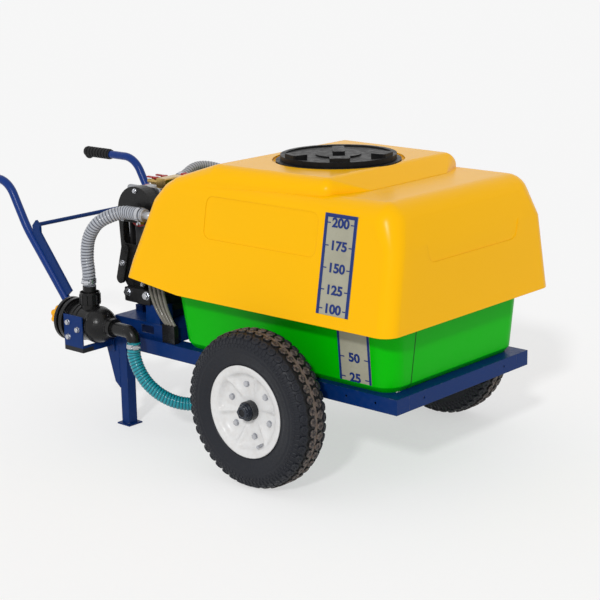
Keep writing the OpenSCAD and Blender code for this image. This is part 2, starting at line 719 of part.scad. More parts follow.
module rim_back(s) {
    t = rim_sheet;
    zb = web_out - t - 0.1;
    color("#dcdcd8") at_wheel(s) difference() {
        rotate_extrude($fn = 96) polygon([
            [hub_r + 14, zb - t], [hub_r + 14, zb], [80, zb], [88, zb - 5], [bead_r - t - 1, zb - 10],
            [bead_r, zb - 11], [bead_r, -half_seat], [bead_r + 5, -half_seat - 3], [rim_lip_r - 4,
            -half_seat - 5],
            [rim_lip_r, -half_seat - 4], [rim_lip_r, -half_seat - 6], [rim_lip_r - 4, -half_seat - 8],
            [bead_r + 4, -half_seat - 6], [bead_r - t, -half_seat - 2], [bead_r - t, zb - 14], [87,
            zb - 5 - t], [79, zb - t]]);
        for (k = [0 : rim_bolts - 1]) rotate([0, 0, 360 * (k + 0.5) / rim_bolts])
            translate([rim_bolt_pcr, 0, -20]) cylinder(h = 60, r = 4.3);
        rotate([0, 0, valve_at]) translate([93, 0, -5]) cylinder(h = 40, r = 8);
    }
}

hub_in = 40;             // hub's ends, inboard and outboard of the wheel's middle plane
hub_out = 38;

module hub(s) {
    color("#2c2e31") at_wheel(s) difference() {
        union() {
            translate([0, 0, -hub_in]) cylinder(h = hub_in + hub_out, r = hub_r);
            translate([0, 0, web_out - 2 * rim_sheet - 0.4 - 5]) cylinder(h = 5, r = rim_bolt_pcr + 10);
        }
        translate([0, 0, -hub_in - 1]) cylinder(h = 200, r = spindle_r + spindle_fit);
        for (e = [-hub_in, hub_out - 8]) translate([0, 0, e]) difference() {
            translate([0, 0, -0.01]) cylinder(h = 8.02, r = hub_r - 4);
            translate([0, 0, -0.1]) cylinder(h = 8.2 - (e > 0 ? 1 : 0), r = hub_r - 6);
        }
        for (k = [0 : rim_bolts - 1]) rotate([0, 0, 360 * (k + 0.5) / rim_bolts])
            translate([rim_bolt_pcr, 0, -20]) cylinder(h = 60, r = 4.3);
    }
}

module rim_bolt_set(s) {
    z0 = web_out - 2 * rim_sheet - 0.4 - 5;
    color("#b9bcc0") at_wheel(s) {
        for (k = [0 : rim_bolts - 1]) rotate([0, 0, 360 * (k + 0.5) / rim_bolts])
            translate([rim_bolt_pcr, 0, 0]) {
            translate([0, 0, z0 - 9]) cylinder(h = web_out - z0 + 9, r = 4);
            translate([0, 0, web_out]) bolt_head(13, 5, 9);
            translate([0, 0, z0]) mirror([0, 0, 1]) bolt_head(13, 6.5, 9);
        }
        rotate([0, 0, valve_at]) translate([93, 0, 8]) {
            cylinder(h = 26, r = 5);
            translate([0, 0, 26]) cylinder(h = 12, r = 4);
        }
    }
}

module tyre_near() { tyre(-1); }
module tyre_far() { tyre(1); }
module rim_front_near() { rim_front(-1); }
module rim_front_far() { rim_front(1); }
module rim_back_near() { rim_back(-1); }
module rim_back_far() { rim_back(1); }
module hub_near() { hub(-1); }
module hub_far() { hub(1); }
module rim_bolts_near() { rim_bolt_set(-1); }
module rim_bolts_far() { rim_bolt_set(1); }

module axle_nuts() {
    color("#2a3038") for (s = [-1, 1])
        translate([0, s * (track / 2 + hub_out + gap), axle_z]) rotate([-s * 90, 0, 0])
        difference() {
            union() {
                cylinder(h = 3, r = hub_r - 3);
                translate([0, 0, 3]) cylinder(h = 13, d = 30 / cos(30), $fn = 6);
                translate([0, 0, 3]) cylinder(h = 6, r = 18);
            }
            translate([0, 0, -1]) cylinder(h = 30, r = spindle_r + 0.1);
        }
}

// ---------------------------------------------------------------- suction line
filter_z = deck_z + 30;
cap_x = -745;            // joint between the filter's body and its flanged cover
port_x = -606;           // front end of the filter's body
dome_x = -658;           // middle of its domed end
stem_x = -690;           // upright outlet of the filter
stem_z = filter_z + 107;
elbow_r = 22;            // bend of the elbow's middle line
drop_x = -516;           // upright end of the elbow
elbow_out = 18.5;        // radii of the elbow's tube
elbow_in = 12;
hose_top_z = filter_z - elbow_r - 2;
spigot_r = hose_bore - hose_fit;
spigot_len = 28;
bracket_y = filter_y + 52;
filter_bolt_places = [[-724, filter_z + 8], [-724, filter_z - 34], [-684, filter_z - 8]];
flange_out = 12;         // how far the cover's flange stands out from the body
flange_x = cap_x - 34;

module filter_body() {
    fy = -filter_y;
    color("#141416") difference() {
        union() {
            rod_x(cap_x, dome_x, fy, filter_z, filter_r);
            translate([dome_x, fy, filter_z]) sphere(r = filter_r + 1);
            for (x = [-726, -710, dome_x - 3]) rod_x(x, x + 5, fy, filter_z, filter_r + 2);
            rod_x(-640, port_x, fy, filter_z, 24);
            rod_x(port_x - 10, port_x, fy, filter_z, 27);
            rod_x(flange_x, cap_x, fy, filter_z, filter_r + 4);
            rod_x(cap_x - 14, cap_x - 2, fy, filter_z, filter_r + flange_out);
            rod_x(flange_x, flange_x + 10, fy, filter_z, filter_r + flange_out);
            rod_x(flange_x - 18, flange_x, fy, filter_z, 24);
            rod_z(filter_z, stem_z - 34, stem_x, fy, 26);
            rod_z(stem_z - 36, stem_z, stem_x, fy, 19);
            rod_z(stem_z, stem_z + spigot_len, stem_x, fy, spigot_r);
            for (b = filter_bolt_places) rod_y(-bracket_y, -filter_y, b[0], b[1], 10);
        }
        rod_x(cap_x + 1, dome_x, fy, filter_z, filter_r - 5);
        rod_x(dome_x - 1, port_x + 1, fy, filter_z, elbow_in);
        rod_x(flange_x - 19, flange_x - 4, fy, filter_z, knob_stem_r + knob_fit);
        rod_z(filter_z + 20, stem_z + spigot_len + 1, stem_x, fy, elbow_in);
    }
}

module filter_screen() {
    color("#9aa3a8") difference() {
        rod_x(cap_x + 1, dome_x - 4, -filter_y, filter_z, filter_r - 12);
        rod_x(cap_x, dome_x - 3, -filter_y, filter_z, filter_r - 14);
    }
}

bracket_x0 = -742;
bracket_x1 = -665;

module filter_bracket() {
    shelf = filter_z - filter_r - 3;
    color("#123a7c") {
        block(bracket_x0, bracket_x1, -bracket_y - plate_t, -bracket_y, deck_z - 43, deck_z + 60);
        block(bracket_x1 - plate_t, bracket_x1, -bracket_y, -frame_w / 2 - plate_t, deck_z - 43, shelf);
        block(bracket_x1 - plate_t, bracket_x1 + 12, -frame_w / 2 - plate_t, -frame_w / 2, rail_z - 18,
            shelf);
    }
}

knob_stem_r = 6;
knob_fit = 0.05;
knob_x = flange_x - 18 - gap;

module valve_knob() {
    color("#f2b200") difference() {
        union() {
            rod_x(knob_x - 40, knob_x, -filter_y, filter_z, 20);
            for (a = [0 : 60 : 300]) translate([knob_x - 38, -filter_y, filter_z]) rotate([a, 0, 0])
                translate([0, 0, 18]) rotate([0, 90, 0]) cylinder(h = 30, r = 9);
            rod_x(knob_x - 4, knob_x + 14, -filter_y, filter_z, knob_stem_r);
        }
        rod_x(knob_x - 41, knob_x - 34, -filter_y, filter_z, 10);
    }
}

// Nut on the filter's outlet and the elbow below the filter
module hose_fittings() {
    nz = filter_z + filter_r + 6;
    color("#1c1c1f") {
        translate([stem_x, -filter_y, nz]) difference() {
            union() {
                cylinder(h = 34, r = 28);
                for (a = [0 : 30 : 330]) rotate([0, 0, a]) translate([28, 0, 0]) cylinder(h = 28, r = 2.6);
            }
            translate([0, 0, -1]) cylinder(h = 60, r = 26 + gap);
        }
        translate([0, -filter_y, 0]) rotate([90, 0, 0])
            bent_tube([[port_x, filter_z], [drop_x, filter_z], [drop_x, hose_top_z]], [0, elbow_r, 0],
                      elbow_out, elbow_out - elbow_in);
        difference() {
            rod_x(port_x, port_x + 14, -filter_y, filter_z, 26);
            rod_x(port_x - 1, port_x + 15, -filter_y, filter_z, elbow_out);
        }
        difference() {
            rod_z(hose_top_z - spigot_len, hose_top_z, drop_x, -filter_y, spigot_r);
            rod_z(hose_top_z - spigot_len - 1, hose_top_z + 1, drop_x, -filter_y, elbow_in);
        }
    }
}

// Bottom outlet of the tank, an elbow that points back and outwards
outlet_end = [-262, -148, rail_z - 110];
outlet_way = 41.3;       // direction of the hose's end, in degrees from the X axis
outlet_u = [cos(outlet_way), sin(outlet_way), 0];
outlet_at = outlet_end + 46 * outlet_u;

module tank_outlet() {
    z = outlet_at[2];
    color("#17171a") difference() {
        union() {
            rod_z(rail_z - 10, rail_z, outlet_at[0], outlet_at[1], 30);
            rod_z(rail_z, rail_z + 14, outlet_at[0], outlet_at[1], 16.7);
            rod_z(z, rail_z - 9, outlet_at[0], outlet_at[1], 19);
            translate(outlet_at) sphere(r = 22);
            translate(outlet_end) rotate([0, 0, outlet_way]) rotate([0, 90, 0]) cylinder(h = 46, r = 20);
            translate(outlet_end - spigot_len * outlet_u) rotate([0, 0, outlet_way]) rotate([0, 90, 0])
                cylinder(h = spigot_len + 2, r = spigot_r);
        }
        rod_z(z - 6, rail_z + 15, outlet_at[0], outlet_at[1], elbow_in);
        translate(outlet_end - (spigot_len + 1) * outlet_u) rotate([0, 0, outlet_way]) rotate([0, 90, 0])
            cylinder(h = spigot_len + 52, r = elbow_in - 1.5);
    }
}

// Ends of the pump's inlet pipe and of the return line
inlet_x = -512;
inlet_y = 276;
inlet_z = pump_z + 6;
return_from = [-600, -62, pump_z + 66];
return_dir = [0, cos(20), sin(20)];
return_y = 150;
return_z = 655;
return_end = -402;

// Routes of the hoses, from fitting to fitting
end_a = 22;              // the first stretches of a hose run straight over its spigot
end_b = 42;
suction_route = [[drop_x, -filter_y, hose_top_z], [drop_x, -filter_y, hose_top_z - end_a],
                 [drop_x, -filter_y, hose_top_z - end_b], [-502, -328, 198], [-479, -320, 162],
                 [-448, -304, 132], [-414, -280, 111], [-380, -250, 103], [-345, -220, 110],
                 outlet_end - end_b * outlet_u, outlet_end - end_a * outlet_u, outlet_end];
pump_route = [[stem_x, -filter_y, stem_z], [stem_x, -filter_y, stem_z + end_a],
              [stem_x, -filter_y, stem_z + end_b], [-693, -330, 490], [-684, -328, 542],
              [-656, -321, 584], [-624, -303, 606], [-590, -281, 618],
              [inlet_x - end_b, -inlet_y, inlet_z], [inlet_x - end_a, -inlet_y, inlet_z],
              [inlet_x, -inlet_y, inlet_z]];
return_route = [return_from, return_from + end_a * return_dir, return_from + 34 * return_dir,
                [-600, -5, 702], [-598, 24, 706], [-587, 53, 703], [-566, 82, 692],
                [-540, 109, 677], [-510, 132, 664], [-478, 147, 656],
                [return_end - end_b, return_y, return_z], [return_end - end_a, return_y, return_z],
                [return_end, return_y, return_z]];

module suction_hose() {
    color("#1f8fa6", 0.85) ribbed_hose(suction_route, hose_r, hose_r - 1.4, hose_bore, rib_pitch);
}
module pump_hose() {
    color("#9aa0a8", 0.85) ribbed_hose(pump_route, hose_r, hose_r - 1.4, hose_bore, rib_pitch);
}
module return_hose() {
    color("#8d8f94") ribbed_hose(return_route, return_r, return_r - 1.2, return_bore, rib_pitch);
}

echo(suction_hose_mm = route_length(suction_route));
echo(pump_hose_mm = route_length(pump_route));
echo(return_hose_mm = route_length(return_route));

// Worm-drive clamp round a hose end: the band, the housing and the screw
module clamp(at, turn, r) {
    translate(at) rotate(turn) difference() {
        union() {
            translate([0, 0, -6]) cylinder(h = 12, r = r + 1.6);
            translate([r + 4, 0, 0]) cube([8, 14, 12], center = true);
            translate([r + 5, -14, 0]) rotate([-90, 0, 0]) cylinder(h = 26, r = 3.5);
        }
        translate([0, 0, -20]) cylinder(h = 40, r = r + 0.5);
    }
}

module hose_clamps() {
    color("#c3c6c9") {
        clamp([stem_x, -filter_y, stem_z + 14], [0, 0, -60], hose_r);
        clamp([drop_x, -filter_y, hose_top_z - 12], [0, 0, -30], hose_r);
        clamp([inlet_x - 14, -inlet_y, inlet_z], [0, 90, 0], hose_r);
        clamp(outlet_end - 14 * outlet_u, [0, 90, outlet_way], hose_r);
        clamp(return_from + 12 * return_dir, [-70, 0, 0], return_r);
        clamp([return_end - 12, return_y, return_z], [0, 90, 0], return_r);
    }
}

// Four thin pressure lines that curve from a block beside the belt guard down to one on the rail
line_r = 4.5;
line_n = 4;
line_y = frame_w / 2 - 15;
line_top = shaft_z + 4;          // heights of the blocks that hold the lines' ends
line_low = deck_z + 50;
line_x = [-516, -466];   // where the first and the last line stand upright
line_bend = [148, 186];  // and their bend radii

module delivery_lines() {
    drop = line_top - line_low;
    color("#8b8b86") for (k = [0 : line_n - 1]) {
        r = line_bend[0] + (line_bend[1] - line_bend[0]) * k / (line_n - 1);
        x = line_x[0] + (line_x[1] - line_x[0]) * k / (line_n - 1);
        translate([x + r, -line_y, line_top]) rotate([90, 0, 0]) rotate([0, 0, 180])
            rotate_extrude(angle = asin((drop + 1) / r)) translate([r, 0]) circle(line_r, $fn = 24);
    }
    color("#2b2b2d") {
        block(line_x[0] - 21, line_x[1] + 8, -line_y - 8, -plate_y - bracket_t, line_top - 1, line_top + 14);
        block(-464, -416, -line_y - 8, -platform_w / 2 - gap, deck_z, line_low);
    }
}

// ---------------------------------------------------------------- drive
plate_y = 198;           // face of the engine that carries the pump's bracket
bracket_t = 5;
rim_gap = 9;             // gap between the bracket and the guard's rim
guard_back = plate_y + bracket_t + rim_gap;
guard_front = guard_back + guard_d;
pulley_y0 = guard_back + 4;
pulley_y1 = pulley_y0 + 22;
groove = 9;              // depth of the belt's groove
belt_w = 13;
low_guard_r = guard_r - 25;

// Outline of two round ends of different radius joined by their tangents
module link_shape(a, ra, b, rb) {
    hull() {
        translate(a) circle(ra, $fn = 40);
        translate(b) circle(rb, $fn = 40);
    }
}

// Shape in the XZ plane, thickened from y0 to y1
module slab_y(y0, y1) {
    translate([0, y1, 0]) rotate([90, 0, 0]) linear_extrude(y1 - y0) children();
}

pump_at = [-pump_x, pump_z];
crank_at = [-crank_x, shaft_z];

module belt_guard() {
    skin = 2.5;
    color("#121214") {
        difference() {
            slab_y(-guard_front, -guard_back) link_shape(pump_at, guard_r, crank_at, low_guard_r);
            slab_y(-guard_front + skin, -guard_back + 1)
                link_shape(pump_at, guard_r - skin, crank_at, low_guard_r - skin);
            slab_y(-guard_front - 1, -guard_back) translate(pump_at) round_rect(-54, 42, -91, -29, 10);
        }
        for (q = guard_posts) rod_y(-guard_front + skin, -plate_y - bracket_t, q[0], q[1], 5);
    }
}

guard_posts = [[-pump_x, pump_z + guard_r - 12], [-pump_x - 54, pump_z - 22],
               [-crank_x + 30, shaft_z - 23]];

module tension_link() {
    color("#141416") slab_y(-guard_front - 8, -guard_front)
        link_shape(crank_at + [-54, -16], 14.5, crank_at + [-30, 70], 14.5);
}

module drive_belt() {
    rp = pump_pulley_r - groove + gap;
    re = engine_pulley_r - groove + gap;
    mid = (pulley_y0 + pulley_y1) / 2;
    color("#202022") slab_y(-mid - belt_w / 2, -mid + belt_w / 2) difference() {
        link_shape(pump_at, rp + groove, crank_at, re + groove);
        link_shape(pump_at, rp, crank_at, re);
    }
}

module pulley(r, at) {
    mid = (pulley_y0 + pulley_y1) / 2;
    half = belt_w / 2 + gap;
    rod_y(-pulley_y1, -mid - half, at[0], at[1], r);
    rod_y(-mid - half, -mid + half, at[0], at[1], r - groove);
    rod_y(-mid + half, -pulley_y0, at[0], at[1], r);
    rod_y(-pulley_y1 - 2, -shaft_in, at[0], at[1], crank_r);
}

shaft_in = 150;          // inner end of both shafts

module pump_pulley() { color("#b01616") pulley(pump_pulley_r, pump_at); }
module engine_pulley() { color("#8f9296") pulley(engine_pulley_r, crank_at); }

module pump_bracket() {
    color("#a9adb0") difference() {
        slab_y(-plate_y - bracket_t, -plate_y) union() {
            round_rect(-pump_x - 78, -pump_x + 54, shaft_z - 46, pump_z + 67, 12);
        }
        for (q = [pump_at, crank_at]) rod_y(-plate_y - bracket_t - 1, -plate_y + 1, q[0], q[1], crank_r + 8);
    }
}

// Blue stands below the engine and below the base block
module engine_stand() {
    color("#123a7c") {
        for (x = [-crank_x - 66, -crank_x + 38]) block(x, x + 28, -190, 96, platform_z, stand_z);
        block(base_x[1] - 26, base_x[1] + 29, -platform_w / 2 + 1, -guard_back + 8, platform_z, block_z);
    }
}

block_z = platform_z + 52;

base_x = [-620, -519];
base_front = 262;

module base_block() {
    color("#151517") {
        roll_block(base_x[0], base_x[1], -base_front, -guard_front - 1, block_z, block_z + 40, 4);
        block(base_x[0] + 4, base_x[1] + 24, -guard_front - 2, -guard_back + 6, block_z, block_z + 24);
    }
}

// ---------------------------------------------------------------- pump
pump_y0 = plate_y;       // the pump's body hangs behind the bracket
pump_y1 = 62;
heads_y = (pump_y0 + pump_y1) / 2;
head_in = 62;
head_end = 105;
block_top = pump_z + 59;

module pump_body() {
    color("#232427") difference() {
        union() {
            rod_y(-pump_y0, -pump_y1, -pump_x, pump_z, pump_r);
            rod_x(-pump_x - head_in, -pump_x + head_in, -heads_y, pump_z, head_r - 10);
            rod_y(-pump_y1, -pump_y1 + 6, -pump_x, pump_z, pump_r - 14);
        }
        rod_y(-pump_y0 - 1, -shaft_in + 4, -pump_x, pump_z, crank_r + crank_fit);
    }
}

module pump_heads() {
    color("#a31818") for (s = [-1, 1]) {
        translate([-pump_x, -heads_y, pump_z]) rotate([0, s * 90, 0]) {
            translate([0, 0, head_in]) cylinder(h = 14, r = head_r + 4);
            translate([0, 0, head_in + 14]) cylinder(h = head_end - head_in - 14, r = head_r - 4);
            for (a = [0 : 45 : 315]) rotate([0, 0, a + 22.5]) translate([head_r - 4, 0, head_in + 12])
                cylinder(h = 10, r = 6);
        }
    }
}

pipe_r = 11;             // inlet pipe between the belt guard and the hood
pipe_bore = 8.5;
pipe_x = -491.5;

module pump_manifold() {
    color("#a8abab") difference() {
        union() {
            roll_block(-pump_x - 58, -pump_x + 40, -heads_y - 42, -heads_y + 42, pump_z + 30, block_top, 4);
            block(return_from[0] - 13, return_from[0] + 13, -104, -74, pump_z + 40, return_from[2] + 6);
            translate(return_from) rotate([-70, 0, 0]) translate([0, 0, -16]) cylinder(h = 16, r = return_r);
            translate(return_from) rotate([-70, 0, 0]) translate([0, 0, -2])
                cylinder(h = 24, r = return_bore - hose_fit);
            rod_y(-inlet_y, -heads_y, pipe_x, inlet_z, pipe_r);
            translate([pipe_x, -inlet_y, inlet_z]) sphere(r = pipe_r + 0.5);
            rod_x(inlet_x, pipe_x, -inlet_y, inlet_z, pipe_r);
            rod_x(inlet_x, inlet_x + 6, -inlet_y, inlet_z, spigot_r + 2);
            rod_x(inlet_x - spigot_len, inlet_x + 1, -inlet_y, inlet_z, spigot_r);
        }
        rod_y(-pump_y0 - 1, -pump_y1 + 7, -pump_x, pump_z, pump_r);
        rod_x(-pump_x - head_in - 1, -pump_x + head_end + 20, -heads_y, pump_z, head_r - 4);
        rod_x(-pump_x + head_in - gap, -pump_x + head_in + 22 + gap, -heads_y, pump_z, head_r + 4 + gap);
        rod_x(-pump_x - head_in - 22 - gap, -pump_x - head_in + gap, -heads_y, pump_z, head_r + 4 + gap);
        rod_x(inlet_x - spigot_len - 1, pipe_x, -inlet_y, inlet_z, pipe_bore);
    }
}

reg_top = block_top + 28;
reg_x = [-574, -538];    // the regulator's block; its outlets face the open rear
tap_x = reg_x[0];
tap_z = block_top + 14;
tap_y = [156, 122];

reg_mid = (reg_x[0] + reg_x[1]) / 2;

module pressure_regulator() {
    color("#c8a24a") difference() {
        union() {
            roll_block(reg_x[0], reg_x[1], -168, -96, block_top, reg_top, 4);
            rod_y(-96, -86, reg_mid, tap_z, 12);
            for (y = tap_y) {
                rod_x(tap_x - 28, tap_x, -y, tap_z, 9);
                rod_x(tap_x - 44, tap_x - 28, -y, tap_z, 6);
            }
        }
        rod_y(-100, -85, reg_mid, tap_z, 5 + knob_fit);
        for (y = tap_y) rod_z(tap_z + 2, tap_z + 10, tap_x - 14, -y, 4 + knob_fit);
    }
}

module regulator_knob() {
    color("#b01818") translate([reg_mid, -86 + gap, tap_z]) rotate([-90, 0, 0]) {
        cylinder(h = 20, r = 15);
        for (a = [0 : 60 : 300]) rotate([0, 0, a + 10]) translate([14, 0, 1]) cylinder(h = 18, r = 3);
        translate([0, 0, -10]) cylinder(h = 12, r = 5);
    }
}

module tap_lever(y) {
    color("#b01818") translate([tap_x - 14, -y, tap_z]) {
        translate([0, 0, 3]) cylinder(h = 10, r = 4);
        translate([0, 0, 9 + gap]) cylinder(h = 4, r = 8);
        block(-34, 0, -4, 4, 9 + gap, 13 + gap);
    }
}

module tap_lever_near() { tap_lever(tap_y[0]); }
module tap_lever_far() { tap_lever(tap_y[1]); }

// ---------------------------------------------------------------- engine
cyl_x = -crank_x - 78;
cowl_y = -60;            // face where the crankcase meets the fan's cowl

module engine_block() {
    color("#303236") difference() {
        union() {
            roll_block(-crank_x - 80, -crank_x + 80, -plate_y + 10, cowl_y, stand_z + 12, shaft_z + 62, 24);
            rod_y(-plate_y, -plate_y + 11, -crank_x, shaft_z, 62);
            for (x = [-crank_x - 70, -crank_x + 34])
                block(x, x + 36, -180, cowl_y - 4, stand_z, stand_z + 20);
            for (i = [0 : 5]) block(cyl_x - 12 - 9 * i, cyl_x - 8 - 9 * i, -156, -64, shaft_z - 44,
                shaft_z + 46);
            block(cyl_x - 62, cyl_x + 2, -146, -74, shaft_z - 34, shaft_z + 36);
        }
        rod_y(-plate_y - 1, -shaft_in + 4, -crank_x, shaft_z, crank_r + crank_fit);
    }
}

module engine_cowl() {
    color("#a31414") difference() {
        union() {
            rod_y(cowl_y, 40, -crank_x, shaft_z, 92);
            rod_y(40, 70, -crank_x, shaft_z, 76);
        }
        for (a = [0 : 30 : 330]) translate([-crank_x, 62, shaft_z]) rotate([0, a, 0])
            block(34, 64, -10, 12, -3, 3);
        rod_x(-crank_x - 80, -crank_x, grip_home[1], grip_home[2], 3.3);
    }
}

grip_home = [-crank_x - 84, 56, shaft_z + 40];

module recoil_grip() {
    color("#161618") translate(grip_home) {
        translate([0, 0, -20]) cylinder(h = 40, r = 7);
        rotate([0, 90, 0]) cylinder(h = 26, r = 2.5);
    }
}

fuel_z = shaft_z + 97;
fuel_top = fuel_z + 60;
cap_at = [-crank_x, 44];

module fuel_tank() {
    color("#17171a") difference() {
        union() {
            post_block(-crank_x - 72, -crank_x + 66, -44, 132, fuel_z, fuel_top, 24);
            post_block(-crank_x - 78, -crank_x + 72, -50, 138, fuel_z + 28, fuel_z + 32, 28);
            rod_z(fuel_top, fuel_top + 6, cap_at[0], cap_at[1], 20);
            for (y = [-20, 20]) rod_z(shaft_z + 80, fuel_z, -crank_x, y, 7);
        }
        rod_z(fuel_top - 30, fuel_top + 7, cap_at[0], cap_at[1], 16);
        rod_y(cowl_y - 1, 41, -crank_x, shaft_z, 92);
    }
}

module fuel_cap() {
    color("#202022") translate([cap_at[0], cap_at[1], fuel_top + 6 + gap]) {
        cylinder(h = 14, r = 26);
        for (a = [0 : 30 : 330]) rotate([0, 0, a]) translate([25, 0, 0]) cylinder(h = 14, r = 3);
        translate([0, 0, -16]) cylinder(h = 17, r = 15.6);
    }
}

module muffler() {
    color("#55585c") {
        roll_block(cyl_x - 60, cyl_x - 8, -152, -72, shaft_z + 52, shaft_z + 96, 16);
        rod_z(shaft_z + 46, shaft_z + 54, cyl_x - 34, -110, 12);
    }
}

module air_cleaner() {
    color("#161618") {
        roll_block(cyl_x - 66, cyl_x - 16, -44, 40, shaft_z + 2, shaft_z + 84, 16);
        rod_y(-64, -43, cyl_x - 34, shaft_z + 24, 12);
    }
}

lever_at = [-crank_x - 30, -84];

module throttle_lever() {
    color("#8f9296") translate([lever_at[0], lever_at[1], shaft_z + 62 + gap]) {
        cylinder(h = 4, r = 8);
        block(0, 46, -4, 4, 0, 4);
        translate([44, 0, 0]) cylinder(h = 12, r = 5);
    }
}

// ---------------------------------------------------------------- fasteners
// Hexagon bolt head seated on a face that looks along -Y (dir -1) or +Y (dir 1)
module head_y(x, y, z, across = 13, h = 5, wr = 9, dir = -1) {
    translate([x, y, z]) rotate([-dir * 90, 0, 0]) bolt_head(across, h, wr);
}

module hex_bolts() {
    color("#b9bcc0") {
        for (b = filter_bolt_places) head_y(b[0], -bracket_y - plate_t, b[1], 13, 5, 8);
        for (x = [base_x[0] + 14, base_x[1] - 12]) head_y(x, -base_front, block_z + 26, 17, 7, 12);
        head_y(-crank_x - 40, -guard_front - 8, shaft_z + 30, 13, 5, 8);
        head_y(-pump_x - 20, -plate_y - bracket_t, pump_z - 85, 13, 5, 8);
        for (q = guard_posts) head_y(q[0], -guard_front, q[1], 10, 4, 7);
        for (a = [0 : 60 : 300]) translate([-pump_x, -pump_y1, pump_z]) rotate([0, a, 0])
            translate([pump_r - 7, 0, 0]) rotate([-90, 0, 0]) bolt_head(10, 4, 6);
    }
}

place() side_rails();
place() cross_rails();
place() axle_beam();
place() stand_legs();
place() engine_platform();
place() handle_tubes();
place() handle_brace();
place() handle_grips();
place() tank();
place() hood();
place() level_gauges();
place() manway_ring();
place() strainer_basket();
place() tank_outlet();
place() axle_nuts();
place() filter_bracket();
place() filter_body();
place() filter_screen();
place() hose_fittings();
place() hose_clamps();
place() suction_hose();
place() pump_hose();
place() return_hose();
place() delivery_lines();
place() hex_bolts();
place() engine_stand();
place() base_block();
place() pump_bracket();
place() pump_body();
place() pump_heads();
place() pump_manifold();
place() pressure_regulator();
place() belt_guard();
place() tension_link();
place() drive_belt();
place() engine_block();
place() engine_cowl();
place() fuel_tank();
place() muffler();
place() air_cleaner();
place() tyre_near();
place() rim_front_near();
place() rim_back_near();
place() hub_near();
place() rim_bolts_near();
place() tyre_far();
place() rim_front_far();
place() rim_back_far();
place() hub_far();
place() rim_bolts_far();
place() lid();
place() valve_knob();
place() regulator_knob();
place() tap_lever_near();
place() tap_lever_far();
place() pump_pulley();
place() engine_pulley();
place() recoil_grip();
place() fuel_cap();
place() throttle_lever();
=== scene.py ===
# %% [markdown]
# # Wheeled sprayer cart
# A barrow with a covered 200 litre tank, an engine, a belt-driven pump and its suction line.
# The solids of every piece come in as a fixed frame. This lesson dresses them: hoses, tyres with
# their tread, smooth shells, scale marks and a finish for each surface.

# %% Load the frame
import json
import math
import bpy
from mathutils import Matrix, Vector


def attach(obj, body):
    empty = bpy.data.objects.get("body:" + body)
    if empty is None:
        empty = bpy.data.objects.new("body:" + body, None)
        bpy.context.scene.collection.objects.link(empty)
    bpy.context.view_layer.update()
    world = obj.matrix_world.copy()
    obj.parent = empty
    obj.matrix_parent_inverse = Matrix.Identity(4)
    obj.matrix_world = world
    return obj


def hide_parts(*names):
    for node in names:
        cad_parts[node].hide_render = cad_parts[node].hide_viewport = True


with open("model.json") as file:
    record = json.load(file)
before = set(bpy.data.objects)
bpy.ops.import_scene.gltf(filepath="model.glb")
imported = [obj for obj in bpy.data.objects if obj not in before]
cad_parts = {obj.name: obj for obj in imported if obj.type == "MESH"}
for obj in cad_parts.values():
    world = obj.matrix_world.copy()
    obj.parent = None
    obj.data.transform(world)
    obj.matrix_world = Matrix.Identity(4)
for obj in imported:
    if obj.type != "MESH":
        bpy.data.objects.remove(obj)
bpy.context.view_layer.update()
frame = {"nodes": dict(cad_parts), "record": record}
nodes = frame["nodes"]
AXLE = 0.485            # the wheels' axis, along X from the middle of the cart
AXLE_Z = 0.205          # its height
HALF_TRACK = 0.3885     # each wheel's middle plane, across from the middle of the cart

# %% [markdown]
# ## Camera
# A long lens stands well back, a little above the hood. Three angles say where it looks, and the
# matrix is built from them, so that nothing depends on the picture's size.

# %% Camera
def look(azimuth, pitch, roll):
    a, p, r = (math.radians(v) for v in (azimuth, pitch, roll))
    ahead = Vector((-math.sin(a) * math.cos(p), math.cos(a) * math.cos(p), -math.sin(p)))
    right = Vector((math.cos(a), math.sin(a), 0))
    up = right.cross(ahead)
    across = math.cos(r) * right + math.sin(r) * up
    top = math.cos(r) * up - math.sin(r) * right
    return Matrix((across, top, -ahead)).transposed().to_4x4()


lens = bpy.data.cameras.new("long_lens")
lens.lens = 96
lens.clip_end = 60
camera = bpy.data.objects.new("camera", lens)
bpy.context.collection.objects.link(camera)
camera.matrix_world = Matrix.Translation((AXLE + 2.6568, -3.1482, 1.4589)) @ look(42.2, 14.3, -1.1)
bpy.context.scene.camera = camera
print("camera at", [round(v, 3) for v in camera.location])

# %% [markdown]
# ## Hoses
# Each hose is a short length of spiral-ribbed tube between two fittings. Its middle line runs
# through a few chosen points. A tube is wrapped round that line, and its radius swells once per
# turn of the spiral, so the rib winds round it as on real suction hose.

# %% Middle lines of the hoses
def between(a, b, c, d, t):
    return 0.5 * (2 * b + (c - a) * t + (2 * a - 5 * b + 4 * c - d) * t * t
                  + (3 * b - a - 3 * c + d) * t ** 3)


def middle_line(points, step=0.0015):
    p = [Vector(v) / 1000 + Vector((AXLE, 0, 0)) for v in points]
    n = len(p)
    fine = []
    for i in range(n - 1):
        for k in range(40):
            fine.append(between(p[max(i - 1, 0)], p[i], p[i + 1], p[min(i + 2, n - 1)], k / 40))
    fine.append(p[-1])
    reach = [0.0]
    for a, b in zip(fine, fine[1:]):
        reach.append(reach[-1] + (b - a).length)
    count = round(reach[-1] / step)
    line, j = [], 0
    for i in range(count + 1):
        d = reach[-1] * i / count
        while j < len(fine) - 2 and reach[j + 1] < d:
            j += 1
        t = (d - reach[j]) / max(reach[j + 1] - reach[j], 1e-9)
        line.append(fine[j].lerp(fine[j + 1], min(t, 1)))
    return line, reach[-1]


